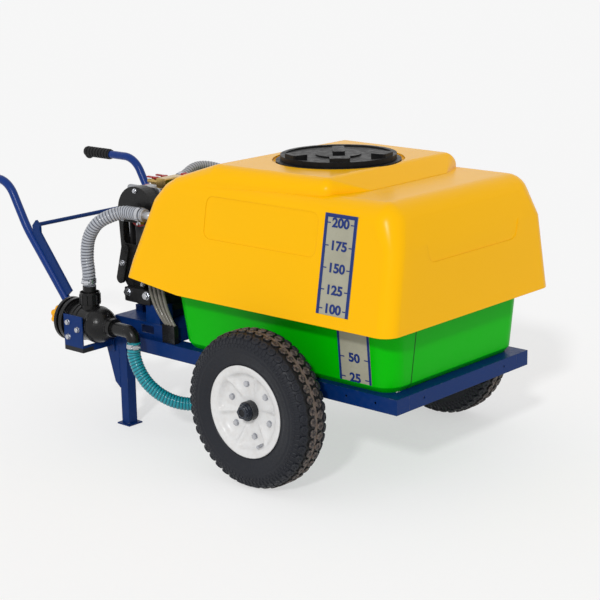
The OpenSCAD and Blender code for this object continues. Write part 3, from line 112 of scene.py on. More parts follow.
outlet_way = Vector((math.cos(math.radians(41.3)), math.sin(math.radians(41.3)), 0))
outlet_end = Vector((-262, -148, 120))
return_from = Vector((-600, -62, 679))
return_way = Vector((0, math.cos(math.radians(20)), math.sin(math.radians(20))))
suction_points = [(-516, -330, 276), (-516, -330, 254), (-516, -330, 234), (-502, -328, 198),
                  (-479, -320, 162), (-448, -304, 132), (-414, -280, 111), (-380, -250, 103),
                  (-345, -220, 110), outlet_end - 42 * outlet_way, outlet_end - 22 * outlet_way,
                  outlet_end]
pump_points = [(-690, -330, 407), (-690, -330, 429), (-690, -330, 449), (-693, -330, 490),
               (-684, -328, 542), (-656, -321, 584), (-624, -303, 606), (-590, -281, 618),
               (-554, -276, 619), (-534, -276, 619), (-512, -276, 619)]
return_points = [return_from, return_from + 22 * return_way, return_from + 34 * return_way,
                 (-600, -5, 702), (-598, 24, 706), (-587, 53, 703), (-566, 82, 692),
                 (-540, 109, 677), (-510, 132, 664), (-478, 147, 656), (-444, 150, 655),
                 (-424, 150, 655), (-402, 150, 655)]


# %% Ribbed hose
def ribbed_hose(name, points, r_rib, r_root, r_bore, pitch, sides=22):
    line, length = middle_line(points)
    side = None
    verts, ribs, rings = [], [], 0
    for i, c in enumerate(line):
        way = (line[min(i + 1, len(line) - 1)] - line[max(i - 1, 0)]).normalized()
        side = way.orthogonal() if side is None else side - side.dot(way) * way
        side.normalize()
        other = way.cross(side)
        for k in range(sides):
            turn = 2 * math.pi * k / sides
            wave = 0.5 + 0.5 * math.cos(2 * math.pi * i * length / (len(line) - 1) / pitch - turn)
            r = r_root + (r_rib - r_root) * wave ** 0.6
            verts.append(c + r * (math.cos(turn) * side + math.sin(turn) * other))
            ribs.append(wave)
        rings += 1
    for i in range(len(line) - 1, -1, -6):
        way = (line[min(i + 1, len(line) - 1)] - line[max(i - 1, 0)]).normalized()
        base = i * sides
        c = line[i]
        for k in range(sides):
            out = (verts[base + k] - c).normalized()
            verts.append(c + r_bore * out)
            ribs.append(0.0)
        rings += 1
    faces = []
    for i in range(rings):
        j = (i + 1) % rings
        for k in range(sides):
            k2 = (k + 1) % sides
            faces.append((i * sides + k, i * sides + k2, j * sides + k2, j * sides + k))
    mesh = bpy.data.meshes.new(name)
    mesh.from_pydata([tuple(v) for v in verts], [], faces)
    mesh.attributes.new("rib", "FLOAT", "POINT").data.foreach_set("value", ribs)
    hose = bpy.data.objects.new(name, mesh)
    bpy.context.collection.objects.link(hose)
    mesh.shade_smooth()
    print(name, "is", round(length * 1000, 1), "mm long")
    return hose, line, length


hoses = {}
for name, points, r_rib, r_root, r_bore, pitch in [
        ("suction_hose", suction_points, 0.0189, 0.0174, 0.0155, 0.0088),
        ("pump_hose", pump_points, 0.0189, 0.0174, 0.0155, 0.0088),
        ("return_hose", return_points, 0.0129, 0.0117, 0.0095, 0.0080)]:
    hose, line, length = ribbed_hose(name + "_tube", points, r_rib, r_root, r_bore, pitch)
    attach(hose, "cart")
    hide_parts(name)
    hoses[name] = hose


# %% [markdown]
# ## Finishes
# Every surface gets its own small network of nodes. A broad noise shifts the tone a little, a fine
# noise gives the grain, and where paint or plating wears, the same rounding that softens the edges
# in the shader also says where an edge is, so that bare metal shows there.

# %% A finish from a few numbers
def finish(name, colour, rough=(0.35, 0.5), metal=0.0, coat=0.0, tone=0.1, patch=5.0, grain=600.0,
           relief=0.15, edge=0.0015, worn=None, wear=0.5, dust=None, dust_amount=0.3, shine=0.22):
    m = bpy.data.materials.new(name)
    m.use_nodes = True
    nt = m.node_tree
    out = nt.nodes["Principled BSDF"]
    out.inputs["Metallic"].default_value = metal
    out.inputs["Coat Weight"].default_value = coat
    out.inputs["Coat Roughness"].default_value = 0.12
    out.inputs["Specular IOR Level"].default_value = 0.5 if metal > 0.5 else shine
    link = nt.links.new

    def node(kind, **values):
        n = nt.nodes.new(kind)
        for k, v in values.items():
            n.inputs[k].default_value = v
        return n

    place = nt.nodes.new("ShaderNodeTexCoord").outputs["Object"]
    broad = node("ShaderNodeTexNoise", Scale=patch, Detail=5.0, Roughness=0.6)
    fine = node("ShaderNodeTexNoise", Scale=grain, Detail=2.0)
    middle = node("ShaderNodeTexNoise", Scale=patch * 14, Detail=3.0)
    for n in (broad, fine, middle):
        link(place, n.inputs["Vector"])
    shade = nt.nodes.new("ShaderNodeMix")
    shade.data_type = "RGBA"
    shade.inputs["A"].default_value = [c * (1 - tone) for c in colour] + [1]
    shade.inputs["B"].default_value = [min(c * (1 + tone), 1) for c in colour] + [1]
    link(broad.outputs["Fac"], shade.inputs["Factor"])
    tint = shade.outputs["Result"]
    round_edge = None
    if edge:
        round_edge = node("ShaderNodeBevel", Radius=edge)
        round_edge.samples = 4
    if worn and edge:
        true = nt.nodes.new("ShaderNodeNewGeometry")
        dot = nt.nodes.new("ShaderNodeVectorMath")
        dot.operation = "DOT_PRODUCT"
        link(round_edge.outputs["Normal"], dot.inputs[0])
        link(true.outputs["True Normal"], dot.inputs[1])
        near = node("ShaderNodeMapRange", **{"From Min": 0.995, "From Max": 0.86})
        link(dot.outputs["Value"], near.inputs["Value"])
        spots = node("ShaderNodeMapRange", **{"From Min": 0.62 - 0.25 * wear, "From Max": 0.72})
        link(middle.outputs["Fac"], spots.inputs["Value"])
        both = nt.nodes.new("ShaderNodeMath")
        both.operation = "MULTIPLY"
        link(near.outputs["Result"], both.inputs[0])
        link(spots.outputs["Result"], both.inputs[1])
        bare = nt.nodes.new("ShaderNodeMix")
        bare.data_type = "RGBA"
        bare.inputs["B"].default_value = [*worn, 1]
        link(tint, bare.inputs["A"])
        link(both.outputs["Value"], bare.inputs["Factor"])
        tint = bare.outputs["Result"]
    if dust:
        film = node("ShaderNodeMapRange", **{"From Min": 0.45, "From Max": 0.75, "To Max": dust_amount})
        link(middle.outputs["Fac"], film.inputs["Value"])
        layer = nt.nodes.new("ShaderNodeMix")
        layer.data_type = "RGBA"
        layer.inputs["B"].default_value = [*dust, 1]
        link(tint, layer.inputs["A"])
        link(film.outputs["Result"], layer.inputs["Factor"])
        tint = layer.outputs["Result"]
    link(tint, out.inputs["Base Color"])
    gloss = node("ShaderNodeMapRange", **{"From Min": 0.3, "From Max": 0.7, "To Min": rough[0],
                                          "To Max": rough[1]})
    link(middle.outputs["Fac"], gloss.inputs["Value"])
    link(gloss.outputs["Result"], out.inputs["Roughness"])
    bump = node("ShaderNodeBump", Strength=relief, Distance=0.0006)
    link(fine.outputs["Fac"], bump.inputs["Height"])
    if round_edge:
        link(round_edge.outputs["Normal"], bump.inputs["Normal"])
    link(bump.outputs["Normal"], out.inputs["Normal"])
    return m


# %% [markdown]
# ## Paints, plastics and metals of the cart
# The colours are written as the object shows them under plain light. The frame has a dark blue
# powder coat with a fine orange-peel skin, the hood a glossy yellow skin, the tank is smooth green
# polyethylene, and most small parts are black plastic, zinc-plated steel or cast metal.

# %% Paints, plastics and metals
steel = (0.45, 0.46, 0.48)
dirt = (0.16, 0.15, 0.13)
looks = {
    "frame_blue": finish("dark_blue_powder_coat", (0.001, 0.024, 0.13), (0.3, 0.45), grain=900,
                         relief=0.25, worn=(0.12, 0.14, 0.18), wear=0.3, edge=0.0025, dust=dirt,
                         dust_amount=0.03, tone=0.14, shine=0.12),
    "handle_blue": finish("handle_powder_coat", (0.001, 0.028, 0.18), (0.22, 0.34), shine=0.2, grain=900,
                          relief=0.2, edge=0.001, worn=(0.15, 0.17, 0.2), wear=0.3),
    "grip_rubber": finish("grip_rubber", (0.007, 0.007, 0.008), (0.5, 0.7), grain=1800, relief=0.35,
                          edge=0.0015, dust=dirt, dust_amount=0.05),
    "tank_green": finish("green_polyethylene", (0.0, 0.46, 0.0), (0.3, 0.42), grain=260, relief=0.1,
                         tone=0.04, edge=0.003, shine=0.1),
    "hood_yellow": finish("yellow_gel_coat", (0.93, 0.475, 0.0), (0.25, 0.27), coat=0.0, grain=90,
                          relief=0.03, tone=0.02, patch=2.0, edge=0.002, shine=0.1),
    "gauge_clear": finish("clear_strip", (0.36, 0.35, 0.27), (0.25, 0.4), grain=200, relief=0.1,
                          tone=0.2, patch=12, edge=0.0005),
    "black_plastic": finish("black_plastic", (0.008, 0.008, 0.009), (0.35, 0.55), grain=1400, relief=0.3,
                            dust=dirt, dust_amount=0.04),
    "lid_black": finish("lid_plastic", (0.0075, 0.0075, 0.008), (0.3, 0.5), grain=1200, relief=0.25,
                        edge=0.002, dust=dirt, dust_amount=0.03, shine=0.1),
    "filter_black": finish("glass_filled_nylon", (0.0055, 0.0055, 0.006), (0.16, 0.34), grain=700,
                           relief=0.3, edge=0.002, dust=dirt, dust_amount=0.02, shine=0.25),
    "guard_black": finish("guard_plastic", (0.0065, 0.0065, 0.007), (0.2, 0.38), grain=900, relief=0.2,
                          edge=0.003, dust=dirt, dust_amount=0.02, shine=0.22),
    "screen_steel": finish("screen_steel", steel, (0.3, 0.5), metal=1.0, grain=2500, relief=0.6),
    "nut_steel": finish("dark_plated_steel", (0.03, 0.036, 0.05), (0.24, 0.4), metal=0.6, grain=900,
                        relief=0.2, worn=steel, wear=0.6),
    "zinc_steel": finish("zinc_plating", (0.5, 0.51, 0.54), (0.16, 0.34), metal=1.0, grain=700,
                         relief=0.15, tone=0.3, patch=60, edge=0.0008, worn=(0.1, 0.1, 0.1), wear=0.2),
    "plate_steel": finish("bare_steel_plate", (0.36, 0.37, 0.39), (0.3, 0.48), metal=0.9, grain=500,
                          relief=0.2, tone=0.2, patch=18),
    "line_grey": finish("grey_line", (0.17, 0.16, 0.135), (0.2, 0.36), grain=900, relief=0.15, tone=0.35,
                        patch=60, edge=0, coat=0.2),
    "pump_iron": finish("dark_cast_iron", (0.02, 0.02, 0.023), (0.45, 0.65), metal=0.3, grain=350,
                        relief=0.6, worn=(0.2, 0.2, 0.2), wear=0.3),
    "pump_red": finish("red_enamel", (0.3, 0.008, 0.008), (0.25, 0.4), coat=0.2, grain=600,
                       relief=0.2, worn=(0.3, 0.28, 0.26), wear=0.3),
    "cast_aluminium": finish("cast_aluminium", (0.42, 0.43, 0.45), (0.38, 0.55), metal=0.85, grain=380,
                             relief=0.5, tone=0.2, patch=16),
    "brass": finish("turned_brass", (0.5, 0.34, 0.12), (0.2, 0.36), metal=1.0, grain=700, relief=0.12,
                    tone=0.2, patch=25),
    "belt_rubber": finish("belt_rubber", (0.008, 0.008, 0.009), (0.6, 0.8), grain=1500, relief=0.4),
    "engine_iron": finish("dark_cast_alloy", (0.045, 0.048, 0.055), (0.4, 0.6), metal=0.5, grain=350,
                          relief=0.6, worn=(0.3, 0.3, 0.3), wear=0.3),
    "engine_red": finish("red_cowl_enamel", (0.3, 0.007, 0.007), (0.2, 0.32), coat=0.25, grain=500,
                         relief=0.12, edge=0.003),
    "muffler_steel": finish("heat_dulled_steel", (0.1, 0.095, 0.09), (0.4, 0.6), metal=0.7, grain=500,
                            relief=0.35, tone=0.35, patch=20),
    "rim_white": finish("white_rim_enamel", (0.7, 0.7, 0.7), (0.25, 0.42), coat=0.1, grain=500,
                        relief=0.15, tone=0.03, edge=0.0015, dust=(0.4, 0.33, 0.27),
                        dust_amount=0.18),
    "hub_iron": finish("hub_paint", (0.012, 0.013, 0.016), (0.22, 0.42), grain=500, relief=0.35,
                       worn=(0.25, 0.25, 0.25), wear=0.5, shine=0.4),
    "knob_yellow": finish("yellow_plastic", (0.85, 0.4, 0.0), (0.35, 0.5), grain=900, relief=0.15,
                          edge=0.002),
    "knob_red": finish("red_plastic", (0.36, 0.01, 0.01), (0.3, 0.45), grain=900, relief=0.15),
}
print("finishes:", len(looks))


# %% [markdown]
# ## Tyre rubber
# New rubber is nearly black with a bluish sheen. The middle groove and the tops of the middle blocks
# hold pale brown dust. The other grooves and the block sides between the inner rows are painted near
# black as painted shade. The dust and the painted shade are placed by the distance from the wheel's axis
# and from the tyre's middle plane, so they lie in the grooves all round.

# %% Tyre rubber
def tyre_rubber(name):
    m = finish(name, (0.0075, 0.009, 0.014), (0.42, 0.62), grain=900, relief=0.3, tone=0.3, patch=14,
               edge=0, shine=0.3)
    nt = m.node_tree
    out = nt.nodes["Principled BSDF"]
    under = out.inputs["Base Color"].links[0].from_socket
    link = nt.links.new

    def node(kind, operation=None, **values):
        n = nt.nodes.new(kind)
        if operation:
            n.operation = operation
        for k, v in values.items():
            n.inputs[k].default_value = v
        return n

    def times(a, b):
        n = node("ShaderNodeMath", "MULTIPLY")
        link(a, n.inputs[0])
        link(b, n.inputs[1])
        return n.outputs["Value"]

    def spread(value, low, high, least=0.0):
        n = node("ShaderNodeMapRange", **{"From Min": low, "From Max": high, "To Min": least})
        link(value, n.inputs["Value"])
        return n.outputs["Result"]

    place = nt.nodes.new("ShaderNodeTexCoord").outputs["Object"]
    axes = nt.nodes.new("ShaderNodeSeparateXYZ")
    link(place, axes.inputs["Vector"])
    from_axis = node("ShaderNodeVectorMath", "SUBTRACT")
    from_axis.inputs[1].default_value = (AXLE, 0, AXLE_Z)
    flat = node("ShaderNodeVectorMath", "MULTIPLY")
    flat.inputs[1].default_value = (1, 0, 1)
    reach = node("ShaderNodeVectorMath", "LENGTH")
    link(place, from_axis.inputs[0])
    link(from_axis.outputs[0], flat.inputs[0])
    link(flat.outputs[0], reach.inputs[0])
    side = node("ShaderNodeMath", "ABSOLUTE")
    link(axes.outputs["Y"], side.inputs[0])
    off = node("ShaderNodeMath", "SUBTRACT")
    link(side.outputs["Value"], off.inputs[0])
    off.inputs[1].default_value = HALF_TRACK
    crown = node("ShaderNodeMath", "ABSOLUTE")
    link(off.outputs["Value"], crown.inputs[0])
    tread = spread(reach.outputs["Value"], 0.1945, 0.197)
    middle = spread(crown.outputs["Value"], 0.042, 0.02)
    centre = spread(crown.outputs["Value"], 0.0055, 0.003)
    tops = spread(reach.outputs["Value"], 0.2018, 0.2034)
    speck = node("ShaderNodeTexNoise", Scale=170.0, Detail=4.0)
    link(place, speck.inputs["Vector"])
    patches = spread(speck.outputs["Fac"], 0.40, 0.66, 0.12)
    dusty = nt.nodes.new("ShaderNodeMix")
    dusty.data_type = "RGBA"
    dusty.inputs["B"].default_value = (0.15, 0.115, 0.095, 1)
    # painted shade: the near-black colour A is mixed into the groove floors and block sides between the
    # inner rows
    shade = nt.nodes.new("ShaderNodeMix")
    shade.data_type = "RGBA"
    shade.inputs["A"].default_value = (0.0015, 0.0015, 0.002, 1)
    link(under, shade.inputs["B"])
    not_painted_shade = node("ShaderNodeMath", "MAXIMUM")
    not_groove_shade = node("ShaderNodeMath", "SUBTRACT")
    not_groove_shade.inputs[0].default_value = 1.0
    link(times(tread, spread(crown.outputs["Value"], 0.030, 0.026)), not_groove_shade.inputs[1])
    link(not_groove_shade.outputs["Value"], not_painted_shade.inputs[0])
    link(tops, not_painted_shade.inputs[1])
    link(not_painted_shade.outputs["Value"], shade.inputs["Factor"])
    link(shade.outputs["Result"], dusty.inputs["A"])
    most = node("ShaderNodeMath", "MAXIMUM")
    link(times(tops, times(middle, patches)), most.inputs[0])
    link(times(centre, tread), most.inputs[1])
    link(most.outputs["Value"], dusty.inputs["Factor"])
    link(dusty.outputs["Result"], out.inputs["Base Color"])
    return m


looks["tyre"] = tyre_rubber("tyre_rubber")


# %% [markdown]
# ## Hose skins
# The suction hoses are soft tube round a stiff spiral. The rib number stored along the hose darkens the
# narrow valley between two turns, and the bore, with a painted shade colour, so the spiral shows as fine
# dark lines of painted shade.

# %% Hose skins
def hose_skin(name, painted_valley_shade, rib, rough):
    m = finish(name, painted_valley_shade, rough, grain=1200, relief=0.12, tone=0.15, patch=20, edge=0, coat=0.3)
    nt = m.node_tree
    out = nt.nodes["Principled BSDF"]
    under = out.inputs["Base Color"].links[0].from_socket
    height = nt.nodes.new("ShaderNodeAttribute")
    height.attribute_name = "rib"
    mixed = nt.nodes.new("ShaderNodeMix")
    mixed.data_type = "RGBA"
    mixed.inputs["B"].default_value = (*rib, 1)
    nt.links.new(under, mixed.inputs["A"])
    # painted shade: where the rib number is low, in the valleys and the bore, the dark valley colour
    # stays
    rib_over_painted_shade = nt.nodes.new("ShaderNodeMapRange")
    rib_over_painted_shade.inputs["From Min"].default_value = 0.02
    rib_over_painted_shade.inputs["From Max"].default_value = 0.45
    nt.links.new(height.outputs["Fac"], rib_over_painted_shade.inputs["Value"])
    nt.links.new(rib_over_painted_shade.outputs["Result"], mixed.inputs["Factor"])
    nt.links.new(mixed.outputs["Result"], out.inputs["Base Color"])
    return m


# each first colour is the painted shade in the valleys, each second colour is the hose's own colour on
# the ribs
looks["hose_teal"] = hose_skin("teal_hose_skin", (0.0, 0.06, 0.09), (0.01, 0.27, 0.33), (0.14, 0.26))
looks["hose_grey"] = hose_skin("grey_hose_skin", (0.03, 0.033, 0.05), (0.36, 0.38, 0.42), (0.14, 0.26))
looks["return_grey"] = hose_skin("return_hose_skin", (0.08, 0.08, 0.09), (0.34, 0.35, 0.37), (0.2, 0.34))


# %% [markdown]
# ## Two colours on one piece
# The thin tubes end in black blocks, and the axle's ends are bare dark steel beyond the wheels.
# Both could be pieces of their own. Here the place on the object picks the colour, since the two
# colours meet at a straight cut.

# %% Another colour beyond a place
def another_colour(m, axis, low, high, colour, below=10.0):
    nt = m.node_tree
    out = nt.nodes["Principled BSDF"]
    under = out.inputs["Base Color"].links[0].from_socket
    place = nt.nodes.new("ShaderNodeTexCoord")
    axes = nt.nodes.new("ShaderNodeSeparateXYZ")
    either_side = nt.nodes.new("ShaderNodeMath")
    either_side.operation = "ABSOLUTE"
    inside = nt.nodes.new("ShaderNodeMath")
    inside.operation = "COMPARE"
    inside.inputs[1].default_value = (low + high) / 2
    inside.inputs[2].default_value = (high - low) / 2
    low_enough = nt.nodes.new("ShaderNodeMath")
    low_enough.operation = "LESS_THAN"
    low_enough.inputs[1].default_value = below
    both = nt.nodes.new("ShaderNodeMath")
    both.operation = "MULTIPLY"
    mixed = nt.nodes.new("ShaderNodeMix")
    mixed.data_type = "RGBA"
    mixed.inputs["B"].default_value = (*colour, 1)
    nt.links.new(place.outputs["Object"], axes.inputs["Vector"])
    nt.links.new(axes.outputs[axis], either_side.inputs[0])
    nt.links.new(axes.outputs["Z"], low_enough.inputs[0])
    nt.links.new(either_side.outputs["Value"], inside.inputs[0])
    nt.links.new(inside.outputs["Value"], both.inputs[0])
    nt.links.new(low_enough.outputs["Value"], both.inputs[1])
    nt.links.new(both.outputs["Value"], mixed.inputs["Factor"])
    nt.links.new(under, mixed.inputs["A"])
    nt.links.new(mixed.outputs["Result"], out.inputs["Base Color"])


block_black = (0.008, 0.008, 0.009)
another_colour(looks["line_grey"], "Z", 0.0, 0.320, block_black)
another_colour(looks["line_grey"], "Z", 0.439, 0.9, block_black)
another_colour(looks["frame_blue"], "Y", 0.347, 0.5, (0.02, 0.021, 0.024), below=0.24)
print("second colours on thin tubes and axle ends")

# %% [markdown]
# ## Mould seam
# The tank is moulded in halves. The seam is too fine for the mesh, so the shader draws it as a dark
# line that leans with the front wall.

# %% Mould seam on the front of the tank
def seam(m, from_x, at_y, lean, half_width, colour):
    nt = m.node_tree
    link = nt.links.new
    out = nt.nodes["Principled BSDF"]
    under = out.inputs["Base Color"].links[0].from_socket

    def step(operation, a, b=None):
        n = nt.nodes.new("ShaderNodeMath")
        n.operation = operation
        link(a, n.inputs[0])
        if hasattr(b, "is_output"):
            link(b, n.inputs[1])
        elif b is not None:
            n.inputs[1].default_value = b
        return n.outputs["Value"]

    place = nt.nodes.new("ShaderNodeTexCoord")
    axes = nt.nodes.new("ShaderNodeSeparateXYZ")
    link(place.outputs["Object"], axes.inputs["Vector"])
    line_y = step("ADD", step("MULTIPLY", axes.outputs["Z"], lean), at_y)
    away = step("ABSOLUTE", step("SUBTRACT", axes.outputs["Y"], line_y))
    thin = nt.nodes.new("ShaderNodeMapRange")
    thin.inputs["From Min"].default_value = 1.4 * half_width
    thin.inputs["From Max"].default_value = 0.6 * half_width
    link(away, thin.inputs["Value"])
    mask = step("MULTIPLY", thin.outputs["Result"], step("GREATER_THAN", axes.outputs["X"], from_x))
    mixed = nt.nodes.new("ShaderNodeMix")
    mixed.data_type = "RGBA"
    mixed.inputs["B"].default_value = (*colour, 1)
    link(under, mixed.inputs["A"])
    link(mask, mixed.inputs["Factor"])
    link(mixed.outputs["Result"], out.inputs["Base Color"])


seam(looks["tank_green"], 0.80, -0.2157, 0.0917, 0.0018, (0.0, 0.045, 0.0))
print("seam on the tank")

# %% [markdown]
# ## Dressing
# Each solid already names its material slot, so one loop gives every solid and hose its finish.

# %% Dress every solid
slot_of = {s["node"]: s["material_slot"] for s in frame["record"]["subparts"]}
for name, o in nodes.items():
    for s in o.material_slots:
        s.material = looks[slot_of[name]]
for name, hose in hoses.items():
    hose.data.materials.append(looks[slot_of[name]])
print("dressed:", len(slot_of))


# %% [markdown]
# ## Smooth shells
# The hood and the tank are moulded, with soft roundings. Their solids have flat facets there, so a
# copy of each mesh is welded, and its shading is smoothed with a weight for the large faces.

# %% Hands for the operators
def only(*objects):
    if bpy.context.object and bpy.context.object.mode != "OBJECT":
        bpy.ops.object.mode_set(mode="OBJECT")
    bpy.ops.object.select_all(action="DESELECT")
    for o in objects:
        o.select_set(True)
    bpy.context.view_layer.objects.active = objects[0]


def put(o, body, slot, material=None):
    if material is None:
        material = looks[slot]
    o.data.materials.clear()
    o.data.materials.append(material)
    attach(o, body)
    print(o.name, len(o.data.polygons), "faces on", body)


# %% Hood and tank shells
def smooth_copy(node, name, angle, body="cart"):
    o = bpy.data.objects.new(name, nodes[node].data.copy())
    bpy.context.collection.objects.link(o)
    only(o)
    if o.data.has_custom_normals:
        bpy.ops.mesh.customdata_custom_splitnormals_clear()
    bpy.ops.object.mode_set(mode="EDIT")
    bpy.ops.mesh.select_all(action="SELECT")
    bpy.ops.mesh.remove_doubles(threshold=0.00008)
    bpy.ops.object.mode_set(mode="OBJECT")
    bpy.ops.object.shade_smooth_by_angle(angle=math.radians(angle))
    m = o.modifiers.new("large_faces_first", "WEIGHTED_NORMAL")
    m.keep_sharp = True
    m.weight = 90
    bpy.ops.object.modifier_apply(modifier=m.name)
    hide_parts(node)
    put(o, body, slot_of[node])
    return o


smooth_copy("hood", "hood_shell", 34)
smooth_copy("tank", "tank_shell", 34)


# %% [markdown]
# ## Tyres
# The casing starts as a circle that is moved, point by point, to the tyre's section and spun round
# the axle. The tread is four staggered rows of rounded eight-sided blocks with a shallow hollow in
# each face, and two rows of short bars run round each shoulder. One block and one bar are shaped,
# then copied round the tyre, and the copies are joined to it.

# %% Tyre section
half_section = [(200, 0), (199.8, 10), (199, 20), (196.8, 29), (192.6, 38), (187, 44), (180, 47.8),
                (172, 50), (166, 50.8), (164.5, 51), (163, 50.2), (158, 50.2), (155, 50.9), (153, 50.1),
                (143, 49), (134, 46.6), (126, 43), (124, 43.2), (122.5, 41.6), (117, 38.6), (114, 38.8),
                (112.5, 37.6), (101.7, 35.5), (101.7, 22), (112, 24), (125, 36), (150, 41), (176, 38),
                (188, 26), (189, 0)]
section = half_section + [(r, -w) for r, w in reversed(half_section[1:-1])]


def casing(name, y):
    bpy.ops.object.select_all(action="DESELECT")
    bpy.ops.mesh.primitive_circle_add(vertices=len(section), radius=0.05, location=(0, 0, 0))
    o = bpy.context.object
    o.name = name
    for v, (r, w) in zip(o.data.vertices, section):
        v.co = (AXLE + r / 1000, y + w / 1000, AXLE_Z)
    bpy.ops.object.mode_set(mode="EDIT")
    bpy.ops.mesh.select_all(action="SELECT")
    bpy.ops.mesh.spin(steps=120, angle=2 * math.pi, center=(AXLE, y, AXLE_Z), axis=(0, 1, 0))
    bpy.ops.mesh.select_all(action="SELECT")
    bpy.ops.mesh.remove_doubles(threshold=0.00005)
    bpy.ops.mesh.normals_make_consistent(inside=False)
    bpy.ops.object.mode_set(mode="OBJECT")
    bpy.ops.object.shade_smooth_by_angle(angle=math.radians(50))
    return o


# %% One tread block
def pick_faces(o, least=0.9):
    for p in o.data.polygons:
        p.select = p.normal.z > least


def tread_block(across, along, height):
    bpy.ops.object.select_all(action="DESELECT")
    bpy.ops.mesh.primitive_cylinder_add(vertices=8, radius=0.5, depth=1.0, location=(0, 0, 0))
    o = bpy.context.object
    quarter = Matrix.Rotation(math.pi / 8, 4, "Z")
    for v in o.data.vertices:
        c = quarter @ v.co
        swell = 0.96 if v.co.z > 0 else 1.14
        v.co = (c.x * across * swell, c.y * along * swell, height * (1.0 if v.co.z > 0 else -1.4))
    bpy.ops.object.mode_set(mode="EDIT")
    bpy.ops.mesh.select_mode(type="FACE")
    bpy.ops.mesh.select_all(action="DESELECT")
    bpy.ops.object.mode_set(mode="OBJECT")
    pick_faces(o)
    bpy.ops.object.mode_set(mode="EDIT")
    bpy.ops.mesh.bevel(offset=0.0018, segments=2, affect="EDGES")
    bpy.ops.object.mode_set(mode="OBJECT")
    pick_faces(o, 0.999)
    bpy.ops.object.mode_set(mode="EDIT")
    bpy.ops.mesh.inset(thickness=0.0035)
    bpy.ops.mesh.inset(thickness=0.0009, depth=-0.0014)
    bpy.ops.object.mode_set(mode="OBJECT")
    print("tread block:", len(o.data.polygons), "faces")
    return o


# %% One shoulder bar
def shoulder_bar(across, along, height):
    bpy.ops.object.select_all(action="DESELECT")
    bpy.ops.mesh.primitive_cube_add(size=1, location=(0, 0, 0))
    o = bpy.context.object
    for v in o.data.vertices:
        swell = 0.8 if v.co.z > 0 else 1.15
        v.co = (v.co.x * across * swell, v.co.y * along * swell, height * (1 if v.co.z > 0 else -1))
    bpy.ops.object.mode_set(mode="EDIT")
    bpy.ops.mesh.select_all(action="SELECT")
    bpy.ops.mesh.bevel(offset=0.0007, segments=1, affect="EDGES")
    bpy.ops.object.mode_set(mode="OBJECT")
    return o


# %% Rows of blocks and bars
def row_of(block, count, y, lean, radius, phase):
    made = []
    for k in range(count):
        a = 2 * math.pi * (k + phase) / count
        c = bpy.data.objects.new("tread_part", block.data.copy())
        bpy.context.collection.objects.link(c)
        c.data.transform(Matrix.Translation((AXLE, 0, AXLE_Z)) @ Matrix.Rotation(a, 4, "Y")
                         @ Matrix.Translation((0, y, radius)) @ Matrix.Rotation(lean, 4, "X"))
        made.append(c)
    return made


def tyre(name, y):
    body = casing(name, y)
    block = tread_block(0.0235, 0.0215, 0.0046)
    bar_long = shoulder_bar(0.0062, 0.0135, 0.0016)
    bar_short = shoulder_bar(0.0052, 0.008, 0.0011)
    parts = []
    for side, phase in ((-1, 0.0), (1, 0.5)):
        parts += row_of(block, 45, y + side * 0.0132, side * -0.03, 0.1994, phase)
        parts += row_of(block, 45, y + side * 0.0362, side * -0.47, 0.1925, phase + 0.5)
        parts += row_of(bar_long, 90, y + side * 0.0465, side * -1.12, 0.1823, 0.25)
        parts += row_of(bar_short, 90, y + side * 0.0503, side * -1.36, 0.1715, 0.75)
    for o in (block, bar_long, bar_short):
        bpy.data.objects.remove(o)
    only(body, *parts)
    bpy.ops.object.join()
    return body


for where, y in (("near", -HALF_TRACK), ("far", HALF_TRACK)):
    o = tyre("tyre_" + where + "_tread", y)
    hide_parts("tyre_" + where)
    put(o, "wheel_" + where, "tyre")


# %% [markdown]
# ## Rims
# The outer rim half is one pressed sheet: a rolled lip, a sloping wall and a flat web with six
# soft ridges that stiffen it. Its section is spun like the tyre's, and the points near each ridge
# are then pushed outwards, more towards the wall, as a press would do.

# %% Pressed rim
WHEEL_TURN = 10         # angle by which the wheels stand turned, front side up
dish = [(25.2, 16.6), (25.2, 19), (30, 19.2), (36, 19.3), (42, 19.4), (48, 19.5), (54, 19.6),
        (60, 19.7), (66, 19.8), (72, 20.2), (78, 21), (84, 22.2), (89, 24.5), (93, 28), (96.5, 33),
        (99.5, 38.5), (103, 41.2), (108, 42.6), (113, 43.4), (117, 44.2), (119.4, 43.6), (119.9, 42),
        (119, 40.6), (116, 41), (108, 39.8), (103, 38), (100.6, 35), (98.8, 30), (98.8, 16.2),
        (93, 13.8), (84, 16.2)]


